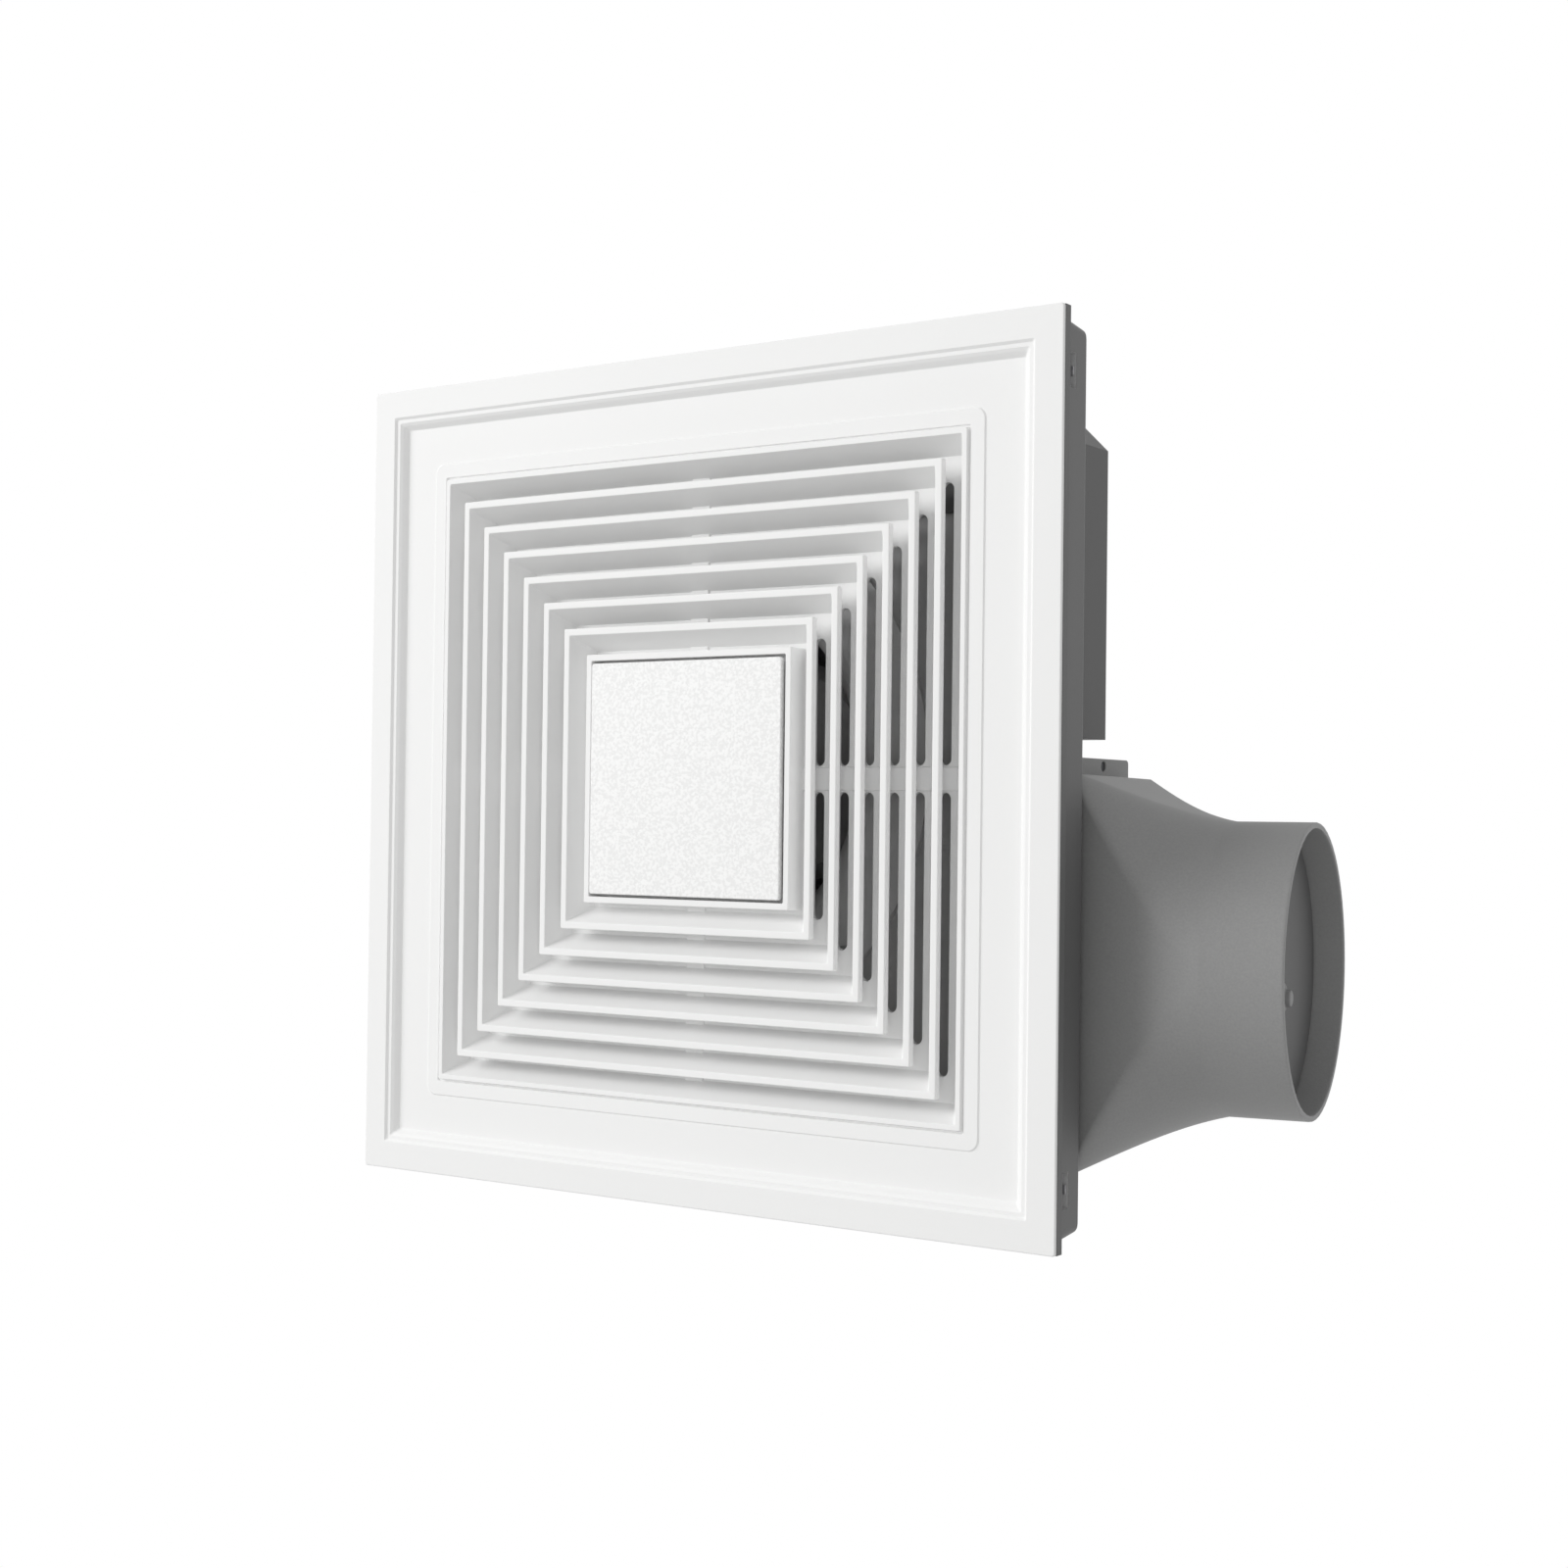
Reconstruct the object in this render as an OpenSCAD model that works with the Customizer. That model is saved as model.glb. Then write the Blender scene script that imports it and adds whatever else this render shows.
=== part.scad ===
// Ceiling exhaust fan, 300 mm square, with a round duct spigot on one side.
// Origin: centre of the four hanger holes, on the upper face of the tray's back plate.
// +Z points up into the ceiling, +X points along the duct.

/* [Face panel] */
// Width and length of the square face panel
panel_size = 300; // [298:1:304]
// Distance of the panel's front face below the ceiling line
panel_drop = 5; // [4.6:0.2:6]
// Wall of the panel moulding
panel_wall = 2.2; // [2:0.1:2.6]
// Width of the flat outer rim
rim_w = 10.2; // [9.6:0.1:11]
// Height of the rim's visible edge
rim_edge = 1.2; // [0.8:0.1:1.6]
// Width of the stepped and rounded slope inside the rim
slope_w = 5.4; // [5.2:0.1:6]
// Depth of the flat band behind the rim
flat_d = 3.4; // [3:0.1:3.8]
// Width of the flat band
flat_w = 19.6; // [19:0.1:20]
// Distance of the fine groove from the louvres' lip
groove_off = 5.7; // [4:0.1:8]
// Corner radius of the fine groove
groove_r = 4; // [2:0.5:8]

/* [Louvres] */
// Number of square louvre rings
ring_count = 6; // [4:1:6]
// Distance from one ring to the next
ring_pitch = 10; // [9.6:0.1:10.2]
// Thickness of a ring's front edge
ring_edge = 2.5; // [2.1:0.1:2.9]
// Depth of the rings' front edges behind the rim
ring_set_back = 2.2; // [1.6:0.1:2.6]
// Depth of the back of the louvres behind the rim
louvre_d = 14; // [12:0.5:16]
// Inward lean of a louvre over its depth
louvre_lean = 6.6; // [6:0.1:7]
// Width of the air slots in the back web
slot_w = 4.4; // [3.6:0.1:4.8]
// Thickness of the back web
web_t = 2; // [1.6:0.1:2.6]
// Width of the web across the middle of each side
mid_web_w = 9; // [6:0.5:12]
// Thickness of the centre plate
plate_t = 2; // [1.5:0.1:3]
// Gap round the centre plate
plate_gap = 0.5; // [0.3:0.1:0.8]

/* [Tray] */
// How far the tray's open edge stays inside the panel's edge
tray_step = 2; // [1.6:0.1:2.6]
// Depth of the tray behind the ceiling line
tray_d = 19; // [18.6:0.2:24]
// Wall of the tray
tray_wall = 2.2; // [1.8:0.1:2.6]
// Inward draft of the tray's side walls
tray_draft = 1.6; // [0.8:0.1:1.8]
// Radius of the tray's back edges
tray_edge_r = 1.5; // [1:0.1:1.6]
// Radius of the tray's upright corners
tray_corner_r = 3; // [2.5:0.5:4]
// Height of the tray's outer flange
flange_h = 3.4; // [2.6:0.1:3.6]
// Distance of the hanger holes from the tray's ends along the duct
hanger_in_x = 16; // [15:0.5:17]
// Distance of the hanger holes from the tray's sides across the duct
hanger_in_y = 14; // [13:0.5:15]
// Radius of a hanger hole
hanger_r = 2.75; // [2.2:0.05:2.8]

/* [Blower case] */
// Distance of the case from the tray's edge, on the duct's side
case_in_right = 44; // [43:0.5:45]
// Distance of the case from the tray's edge, away from the duct
case_in_left = 22; // [20:0.5:23]
// Distance of the case from the tray's edge, beyond the wheel
case_in_end = 11.5; // [11.5:0.5:14]
// Distance of the case from the tray's edge, beside the outlet
case_in_outlet = 18; // [17:0.5:19]
// Height of the case above the tray
case_h = 101; // [99:1:108]
// Wall of the case
case_wall = 2; // [1.6:0.1:2.4]
// Cut of the case's corners
case_cut = 12; // [11:1:16]
// Step back of the case's wall at the outlet
case_step = 10; // [8:0.5:11]
// Where the step begins, measured back from the duct side of the wheel
case_step_y = 17; // [15:0.5:20]
// Width of the case's foot
foot_w = 8; // [7:0.5:8]
// Thickness of the case's foot
foot_t = 2.4; // [2:0.1:3]

/* [Wheel and scroll] */
// Wheel centre along the duct
wheel_x = -6; // [-8:0.5:-4]
// Wheel centre across the duct
wheel_y = -4; // [-6:0.5:-2]
// Height of the wheel's lower rim above the tray
wheel_z = 14; // [13:0.5:16]
// Distance of the wheel's back disc below the case's top
disc_drop = 21; // [20:0.5:24]
// Number of blades
blade_count = 36; // [24:1:40]
// Radial length of a blade
blade_len = 12; // [10:0.5:13]
// Thickness of a blade
blade_t = 1.4; // [1.2:0.1:1.8]
// Gap between the wheel and the scroll's tongue
tongue_gap = 6; // [4:0.5:8]
// Thickness of the scroll's wall
scroll_t = 1.8; // [1.4:0.1:2.2]
// How far the nozzle's throat stays inside the wheel's edge
throat_in = 18; // [17:0.5:20]
// Radius of the inlet nozzle's curve
nozzle_r = 13; // [10:0.5:13]

/* [Motor] */
// Radius of the motor shell
motor_r = 38; // [34:0.5:38.5]
// Length of the motor
motor_len = 39; // [38:0.5:41]
// Radius of the shaft
shaft_r = 4; // [3:0.25:5]
// Running clearance of the shaft in its bearings
shaft_clear = 0.05; // [0.02:0.01:0.09]
// Air gap between rotor and stator
rotor_gap = 0.5; // [0.4:0.1:0.8]

/* [Duct adapter] */
// Outer radius of the duct spigot
spigot_r = 49; // [47:0.5:50]
// Wall of the spigot
spigot_wall = 2; // [1.6:0.1:2.4]
// Distance of the mouth from the adapter's flange
adapter_len = 89.7; // [86:0.5:96]
// Height of the mouth's centre above the square end's centre
mouth_rise = 3.3; // [2:0.1:5]
// Upward tilt of the spigot
spigot_tilt = 9.5; // [6:0.5:11]
// Length of the straight spigot
spigot_len = 27; // [25:0.5:30]
// Distance of the square end's upper face below the case's top
outlet_top_gap = 5; // [4:0.5:8]
// Distance of the square end's lower face above the tray
outlet_low = 4; // [4:0.5:5]
// Distance of the square end from the case's end
outlet_edge = 3.7; // [3.5:0.1:4]
// Distance of the square end's near side from the wheel's centre
outlet_near = 1.3; // [1:0.1:2]
// Width of the flanges round the square end
duct_flange_w = 6.5; // [6:0.5:7]
// Distance of the adapter's flange from the case's side
duct_reach = 11; // [10:0.5:12]

/* [Damper] */
// Distance of the closed flap behind the mouth
flap_back = 11; // [9:0.5:12]
// Height of the pivot above the spigot's axis
pivot_up = 6; // [4:0.5:6]
// Gap between the flap and the spigot's bore
flap_gap = 1.3; // [1.2:0.1:1.6]
// Thickness of the flap
flap_t = 1.6; // [1.2:0.1:1.6]
// Radius of the flap's pin
pin_r = 1.5; // [1.2:0.1:1.5]

/* [Hidden] */

$fn = 64;

panel_half = panel_size / 2;
panel_z = -tray_d - panel_drop;
fit = 0.3;
screw_fit = 0.1;
lap = 0.5;

slope_half = panel_half - rim_w;
valley_half = slope_half - slope_w;
lip_half = valley_half - flat_w;
groove_half = lip_half + groove_off;
groove_w = 0.5;
groove_d = 0.3;
ring_half = lip_half - ring_pitch;
centre_half = ring_half - ring_count * ring_pitch;
edge_break = 0.3;
bend_d = ring_set_back + ring_edge;
sunk_d = louvre_d - 0.3;
pocket_half = centre_half - ring_edge;
plate_half = pocket_half - plate_gap;
plate_d = ring_set_back + 0.2;
plate_bevel = 0.4;
peg_r = 1.5;
peg_len = 3;
peg_in = 8;
mid_rib_h = 4;

tray_half = panel_half - tray_step;
hanger_x = 2 * (tray_half - hanger_in_x);
hanger_y = 2 * (tray_half - hanger_in_y);
tray_rib_in = 27;
tray_rib_y = tray_half - tray_rib_in;
tray_rib_len = 2 * (tray_half - 38);
tray_rib_t = 2;
tray_rib_h = 4;
skirt_half = tray_half - tray_wall - 1.3;
skirt_t = 2;
skirt_d = 6;
tongue_t = 1.8;
tongue_w = 10;
tongue_top = -6.4;
clip_t = 0.6;
clip_gap = 0.3;
clip_w = 11;
clip_top = -5;
clip_low = -15;
window_w = 11.5;
window_h = 5.6;
window_z = -12.5;
grip_y = tray_half - 17;
clip_x = tray_half - tray_draft - tray_wall - 0.3;
tongue_x = clip_x - clip_t - clip_gap;

flange_half = panel_half - 0.1;
boss_r = 6;
boss_h = 6;

case_right = tray_half - case_in_right;
case_left = tray_half - case_in_left;
case_end = tray_half - case_in_end;
case_outlet_end = tray_half - case_in_outlet;
case_in_top = case_h - case_wall;
outlet_x = case_right - case_step;
duct_flange_x = case_right + duct_reach;
neck_x = duct_flange_x - 4.5;
gasket_t = 1.5;
adapter_flange_t = duct_flange_x - neck_x - gasket_t;
case_flange_t = 4;
outlet_wall = 2;
outlet_half_z = (case_h - outlet_top_gap - outlet_low) / 2;
outlet_z = outlet_low + outlet_half_z;
outlet_half_y = (case_outlet_end - outlet_edge - wheel_y - outlet_near) / 2;
duct_y = case_outlet_end - outlet_edge - outlet_half_y;
bore_y = outlet_half_y - outlet_wall;
bore_z = outlet_half_z - outlet_wall;
foot_screw_r = 1.7;
foot_screw_off = 2.7;
duct_screw_r = 1.7;
duct_screw_off = 2 * duct_screw_r + 0.3;
duct_screw_z = [outlet_z - 0.6 * outlet_half_z, outlet_z + 0.6 * outlet_half_z];
rib_y = 0.5 * case_end;
rib_len = case_left + 14;
rib_t = 3;
rib_h = 2;

tongue_angle = 12;
scroll_sweep = 270 + tongue_angle;
scroll_step = 6;
scroll_end_r = duct_y + bore_y - wheel_y;
// The spiral's radius where it passes closest to the case's left wall, and its share of the sweep there
scroll_left_r = case_left - case_wall + wheel_x - scroll_t - 1.3;
scroll_left_share = (180 + tongue_angle) / scroll_sweep;
scroll_r = (scroll_left_r - scroll_left_share * scroll_end_r) / (1 - scroll_left_share);
wheel_r = scroll_r - tongue_gap;
throat_r = wheel_r - throat_in;
tray_hole_r = throat_r + nozzle_r + 9;
nozzle_seat_r = tray_hole_r + 12;
nozzle_t = 1.8;
nozzle_screw_r = nozzle_seat_r - 5;

motor_top = case_in_top - 4;
motor_z = motor_top - motor_len;
motor_mid = (motor_z + motor_top) / 2;
disc_z = case_h - disc_drop;
rim_ring_w = blade_len + 1;
cup_r = motor_r + 5;
cup_t = 2;
cup_bend = 4;
cup_lean = 3;
cup_z = motor_z - 8;
hub_r = 9;
hub_low = cup_z - 11;
hub_top = motor_z - 4;
washer_t = 1.2;
nut_h = 5;
nut_r = 7.5;
shaft_low = hub_low - washer_t - nut_h - 2;
shaft_top = motor_top;
shell_t = 1.2;
ear_r = 6;
ear_ring_r = motor_r + 7;
bush_r = 4.5;
motor_screw_r = 2;
bearing_r = 8;
bearing_h = 7;
vent_r = 3.5;
vent_ring_r = 24;
stator_r = motor_r - shell_t - 0.02;
stator_bore = 22;
stator_half_h = 10;
rotor_r = stator_bore - rotor_gap;
winding_r = 2.6;
winding_half_w = 3;

mouth = [duct_flange_x + adapter_len, duct_y, outlet_z + mouth_rise];
spigot_bore = spigot_r - spigot_wall;
spigot_axis = [cos(spigot_tilt), 0, sin(spigot_tilt)];
loft_x0 = duct_flange_x + 19;
loft_r = spigot_r - 0.3;
loft_corner_r = 5;
loft_steps = 8;
loft_fan = 8;
loft_lap = 1.5;
loft_in = 0.4;
flap_r = spigot_bore - flap_gap;
pin_clear = 0.08;
lug_r = pin_r + 1.2;
lug_len = 4;
flap_off = lug_r + fit + flap_t / 2;
pin_half = sqrt(pow(spigot_bore, 2) - pow(pivot_up + pin_r + pin_clear, 2)) - 0.2;
lug_face = spigot_bore - lug_len;
lug_gap = 0.5;
seat_t = 1.5;
seat_w = 3;
seal_t = 0.8;
flap_peg = [9, -2];
flap_peg_r = 2.5;
flap_peg_h = 2.5;

wiring_in_x = 23;
wiring_in_y = 33;
wiring_x = case_right - wiring_in_x;
wiring_y = -case_end + wiring_in_y;
wiring_hole = [30, 18];
wiring_cover_size = [44, 28];
wiring_cover_t = 2;
cover_screw_in = 4;
gland_x = wiring_x - 4;
gland_z = 34;
gland_r = 7;
cable_r = 4;
capacitor_size = [32, 18, 30];
capacitor_pin_x = 5;
capacitor_clip_w = 10;
clip_sheet = 1;
clip_tab = 9;
terminal_size = [34, 16, 8];
terminal_pitch = 8.5;
terminal_cap_in = 3;
terminal_cap_h = 8;
terminal_screw_r = 2;
terminal_in = 21;
terminal_gap = 3;
terminal_x = wiring_x - terminal_in;

// Places the children in the panel's own frame: depth runs up from the front face
module panel_frame() {
    translate([0, 0, panel_z]) children();
}

// Sweeps a closed profile of [half width, depth] points round a square
module square_frame(profile) {
    n = len(profile);
    signs = [[1, 1], [-1, 1], [-1, -1], [1, -1]];
    points = [for (s = signs, p = profile) [s[0] * p[0], s[1] * p[0], p[1]]];
    sides = [for (c = [0:3], i = [0:n - 1])
        [c * n + i, ((c + 1) % 4) * n + i, ((c + 1) % 4) * n + (i + 1) % n, c * n + (i + 1) % n]];
    polyhedron(points, sides, convexity = 8);
}

// Square with true round corners
module rounded_square(half, r) {
    square([2 * half, 2 * (half - r)], center = true);
    square([2 * (half - r), 2 * half], center = true);
    for (x = [-1, 1], y = [-1, 1]) {
        translate([x * (half - r), y * (half - r)]) circle(r);
    }
}

// Slot with round ends, along X from a to b
module slot(a, b, w) {
    translate([a + w / 2, -w / 2]) square([b - a - w, w]);
    translate([a + w / 2, 0]) circle(w / 2, $fn = 24);
    translate([b - w / 2, 0]) circle(w / 2, $fn = 24);
}

// Pan-head screw: the head's seat is at the origin, the shank runs up
module pan_screw(r, length) {
    cylinder(r = r, h = length, $fn = 24);
    difference() {
        translate([0, 0, -1.6 * r + 0.5]) cylinder(r = 2 * r, h = 1.6 * r - 0.5, $fn = 32);
        translate([0, 0, -1.6 * r]) cube([2.6 * r, 0.5, 1.4], center = true);
        translate([0, 0, -1.6 * r]) cube([0.5, 2.6 * r, 1.4], center = true);
    }
    translate([0, 0, -1.6 * r]) difference() {
        cylinder(r1 = 1.6 * r, r2 = 2 * r, h = 0.5, $fn = 32);
        cube([2.6 * r, 0.5, 1.8], center = true);
        cube([0.5, 2.6 * r, 1.8], center = true);
    }
}

// Half width of a louvre's inner face at a depth
function inner_at(half, d) =
    half - ring_edge - louvre_lean * (d - ring_set_back) / (louvre_d - ring_set_back);
// Half width of a louvre's outer face at a depth below the bend
function outer_at(half, d) = half - louvre_lean * (d - bend_d) / (louvre_d - bend_d);

// One louvre ring: a narrow front edge and a wall that leans inward behind it
function louvre_profile(half) = [
    [half, ring_set_back + edge_break],
    [half - edge_break, ring_set_back],
    [half - ring_edge + edge_break, ring_set_back],
    [half - ring_edge, ring_set_back + edge_break],
    [inner_at(half, sunk_d), sunk_d],
    [outer_at(half, sunk_d), sunk_d],
    [half, bend_d]
];

// Outer frame of the panel, from its edge over the rim, the slope and the flat band to the lip
frame_profile = [
    [panel_half, rim_edge],
    [panel_half, 0.5],
    [panel_half - 0.5, 0],
    [slope_half, 0],
    [slope_half - 0.5, 0.5],
    [slope_half - 2.1, 0.6],
    [slope_half - 2.5, 1.1],
    [slope_half - 3.6, 1.5],
    [slope_half - 4.5, 2.1],
    [slope_half - 5.1, 2.8],
    [valley_half, flat_d],
    [lip_half + 0.5, flat_d],
    [lip_half, ring_set_back],
    [lip_half - ring_edge + edge_break, ring_set_back],
    [lip_half - ring_edge, ring_set_back + edge_break],
    [inner_at(lip_half, sunk_d), sunk_d],
    [outer_at(lip_half, sunk_d), sunk_d],
    [outer_at(lip_half, flat_d + panel_wall), flat_d + panel_wall],
    [valley_half + 1.6, flat_d + panel_wall],
    [slope_half - 1, panel_wall + 0.8],
    [slope_half + 0.4, panel_wall],
    [skirt_half - skirt_t, panel_wall],
    [skirt_half - skirt_t, skirt_d],
    [skirt_half, skirt_d],
    [skirt_half, rim_edge]
];

// Fine groove with round corners, cut into the flat band
module fine_groove(half) {
    translate([0, 0, flat_d - 1]) linear_extrude(1 + groove_d) difference() {
        rounded_square(half, groove_r);
        rounded_square(half - groove_w, groove_r - groove_w);
    }
}

// Back web behind the louvres: a plate with round-ended air slots
module back_web() {
    web_mid = louvre_d - web_t / 2;
    translate([0, 0, louvre_d - web_t]) linear_extrude(web_t) difference() {
        square(2 * (lip_half - louvre_lean + 0.4), center = true);
        square(2 * pocket_half + 1, center = true);
        for (i = [0:ring_count - 1], turn = [0:90:270], side = [0, 1]) {
            half = ring_half - i * ring_pitch;
            middle = (inner_at(half + ring_pitch, web_mid) + outer_at(half, web_mid)) / 2;
            rotate(turn) translate([0, middle]) mirror([side, 0])
                slot(mid_web_w / 2, half - louvre_lean, slot_w);
        }
    }
}

module face_panel() {
    color("white") {
        panel_frame() difference() {
            union() {
                square_frame(frame_profile);
                for (i = [0:ring_count - 1]) {
                    square_frame(louvre_profile(ring_half - i * ring_pitch));
                }
                back_web();
                // Centre frame and the floor that carries the centre plate
                translate([0, 0, ring_set_back]) linear_extrude(sunk_d - ring_set_back) difference() {
                    square(2 * centre_half, center = true);
                    square(2 * pocket_half, center = true);
                }
                translate([0, 0, plate_d + plate_t]) linear_extrude(panel_wall)
                    square(2 * pocket_half + 1, center = true);
                // Short webs that stiffen the middle of each side behind the edges
                for (turn = [0:90:270]) {
                    rotate(turn)
                        translate([-mid_web_w / 2 + 1, centre_half - 1, louvre_d - web_t - mid_rib_h])
                        cube([mid_web_w - 2, lip_half - centre_half - louvre_lean + 1, mid_rib_h + 0.2]);
                }
            }
            fine_groove(groove_half);
            for (x = [-1, 1], y = [-1, 1]) {
                translate([x, y, 0] * (plate_half - peg_in))
                    cylinder(r = peg_r + screw_fit, h = louvre_d);
            }
        }
        // Tongues that slide into the tray's spring clips
        for (x = [-1, 1], y = [-1, 1]) {
            translate([x * (tongue_x - tongue_t / 2), y * grip_y, 0]) {
                translate([-tongue_t / 2, -tongue_w / 2, panel_z + panel_wall - 0.1])
                    cube([tongue_t, tongue_w, tongue_top - panel_z - panel_wall + 0.1]);
                translate([x > 0 ? 0 : -tongue_t, -tongue_w / 2, panel_z + panel_wall - 0.1])
                    cube([tongue_t, tongue_w, skirt_d - panel_wall - 1]);
            }
        }
    }
}

module centre_plate() {
    color("white") panel_frame() {
        translate([0, 0, plate_d]) {
            translate([0, 0, plate_bevel]) linear_extrude(plate_t - plate_bevel)
                square(2 * plate_half, center = true);
            rotate(45)
                cylinder(r1 = (plate_half - plate_bevel) * sqrt(2),
                    r2 = plate_half * sqrt(2), h = plate_bevel, $fn = 4);
        }
        for (x = [-1, 1], y = [-1, 1]) {
            translate([x * (plate_half - peg_in), y * (plate_half - peg_in), plate_d + plate_t - lap])
                cylinder(r = peg_r, h = peg_len + lap);
        }
    }
}

// Outer form of the tray, or its inside when grown inward by the wall
module tray_form(inset) {
    top = -inset;
    $fn = 32;
    hull() {
        translate([0, 0, -tray_d - flange_h - 2 * inset]) linear_extrude(0.1)
            rounded_square(tray_half - inset, tray_corner_r - inset / 2);
        translate([0, 0, top - tray_edge_r]) linear_extrude(0.1)
            rounded_square(tray_half - tray_draft - inset, tray_corner_r - inset / 2);
        translate([0, 0, top - 0.3 * tray_edge_r]) linear_extrude(0.1)
            rounded_square(tray_half - tray_draft - 0.3 * tray_edge_r - inset, tray_corner_r - inset / 2);
        translate([0, 0, top - 0.1]) linear_extrude(0.1)
            rounded_square(tray_half - tray_draft - tray_edge_r - inset, tray_corner_r - inset / 2);
    }
}

module tray() {
    color("dimgray") difference() {
        union() {
            difference() {
                union() {
                    tray_form(0);
                    translate([0, 0, -tray_d - flange_h]) linear_extrude(flange_h)
                        square(2 * flange_half, center = true);
                }
                tray_form(tray_wall);
            }
            // Screw bosses and the ribs that tie them to the walls
            for (x = [-1, 1], y = [-1, 1]) {
                translate([x * hanger_x / 2, y * hanger_y / 2, -boss_h])
                    cylinder(r = boss_r, h = boss_h - lap);
                translate([x * hanger_x / 2 - 1, y * (hanger_y / 2 + 4) - 4, -boss_h])
                    cube([2, 8, boss_h - lap]);
            }
            // Ribs across the underside of the back plate
            for (y = [-1, 1]) {
                translate([-tray_rib_len / 2, y * tray_rib_y - tray_rib_t / 2, -tray_wall - tray_rib_h])
                    cube([tray_rib_len, tray_rib_t, tray_rib_h + lap]);
            }
        }
        translate([wheel_x, wheel_y, -tray_wall - 9])
            cylinder(r = tray_hole_r, h = tray_wall + 10, $fn = 128);
        translate([wheel_x, wheel_y, -tray_wall - 9]) cylinder(r = nozzle_seat_r + 0.5, h = 9, $fn = 128);
        for (x = [-1, 1], y = [-1, 1]) {
            translate([x * hanger_x / 2, y * hanger_y / 2, -boss_h - 1])
                cylinder(r = hanger_r, h = boss_h + 2);
            translate([x * tray_half, y * grip_y, window_z])
                cube([4 * tray_wall, window_w, window_h], center = true);
        }
        for (p = nozzle_screw_places) {
            translate([p[0], p[1], -tray_wall - 1])
                cylinder(r = foot_screw_r + screw_fit, h = tray_wall + 2, $fn = 24);
        }
        for (p = foot_screw_places) {
            translate([p[0], p[1], -tray_wall - 1])
                cylinder(r = foot_screw_r + screw_fit, h = tray_wall + 2, $fn = 24);
        }
        translate([wiring_x, wiring_y, 0]) cube([wiring_hole[0], wiring_hole[1], 20], center = true);
        for (x = [-1, 1]) {
            translate([wiring_x + x * (wiring_cover_size[0] / 2 - cover_screw_in),
                wiring_y, -tray_wall - 1])
                cylinder(r = foot_screw_r + screw_fit, h = tray_wall + 2, $fn = 24);
        }
    }
}

// Spring clips in the tray's side windows, one for each tongue
module panel_clips() {
    color("silver") for (x = [0, 1], y = [-1, 1]) {
        mirror([x, 0, 0]) translate([0, y * grip_y - clip_w / 2, 0]) {
            translate([clip_x - clip_t, 0, clip_low]) cube([clip_t, clip_w, clip_top - clip_low]);
            translate([clip_x - 2 * clip_t - tongue_t - 2 * clip_gap, 0, clip_low])
                cube([clip_t, clip_w, clip_top - clip_low]);
            translate([clip_x - 2 * clip_t - tongue_t - 2 * clip_gap, 0, clip_top - clip_t])
                cube([2 * clip_t + tongue_t + 2 * clip_gap, clip_w, clip_t]);
            // Barb that hooks the clip into the window
            for (z = [window_h / 2 - clip_t - 0.4, 0.4 - window_h / 2]) {
                translate([clip_x - 0.1, 4, window_z + z]) cube([tray_wall + 0.6, clip_w - 8, clip_t]);
            }
        }
    }
}

// Corner points of the blower case, moved inward by an inset
function case_outline(inset) = let (
    c = case_cut - 0.586 * inset,
    r = case_right - inset,
    o = outlet_x - inset,
    l = -case_left + inset,
    e = -case_end + inset,
    f = case_outlet_end - inset
) [
    [r, e + c], [r, -case_step_y - inset], [o, -case_step_y - inset], [o, f],
    [l + c, f], [l, f - c], [l, e + c], [l + c, e], [r - c, e]
];

foot_screw_places = [
    [-case_left - foot_screw_off, -0.6 * case_end], [-case_left - foot_screw_off, 0.6 * case_outlet_end],
    [-0.48 * case_left, -case_end - foot_screw_off], [0.48 * case_right, -case_end - foot_screw_off],
    [-0.48 * case_left, case_outlet_end + foot_screw_off],
    [0.48 * case_right, case_outlet_end + foot_screw_off],
    [case_right + foot_screw_off, -0.74 * case_end], [case_right + foot_screw_off, -0.3 * case_end]
];

nozzle_screw_places = [for (a = [45:90:315])
    [wheel_x + nozzle_screw_r * cos(a), wheel_y + nozzle_screw_r * sin(a)]];

duct_screw_places = [for (y = [-1, 1], z = duct_screw_z)
    [duct_y + y * (outlet_half_y + duct_screw_off), z]];

motor_ear_angles = [30, 150, 270];

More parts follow.
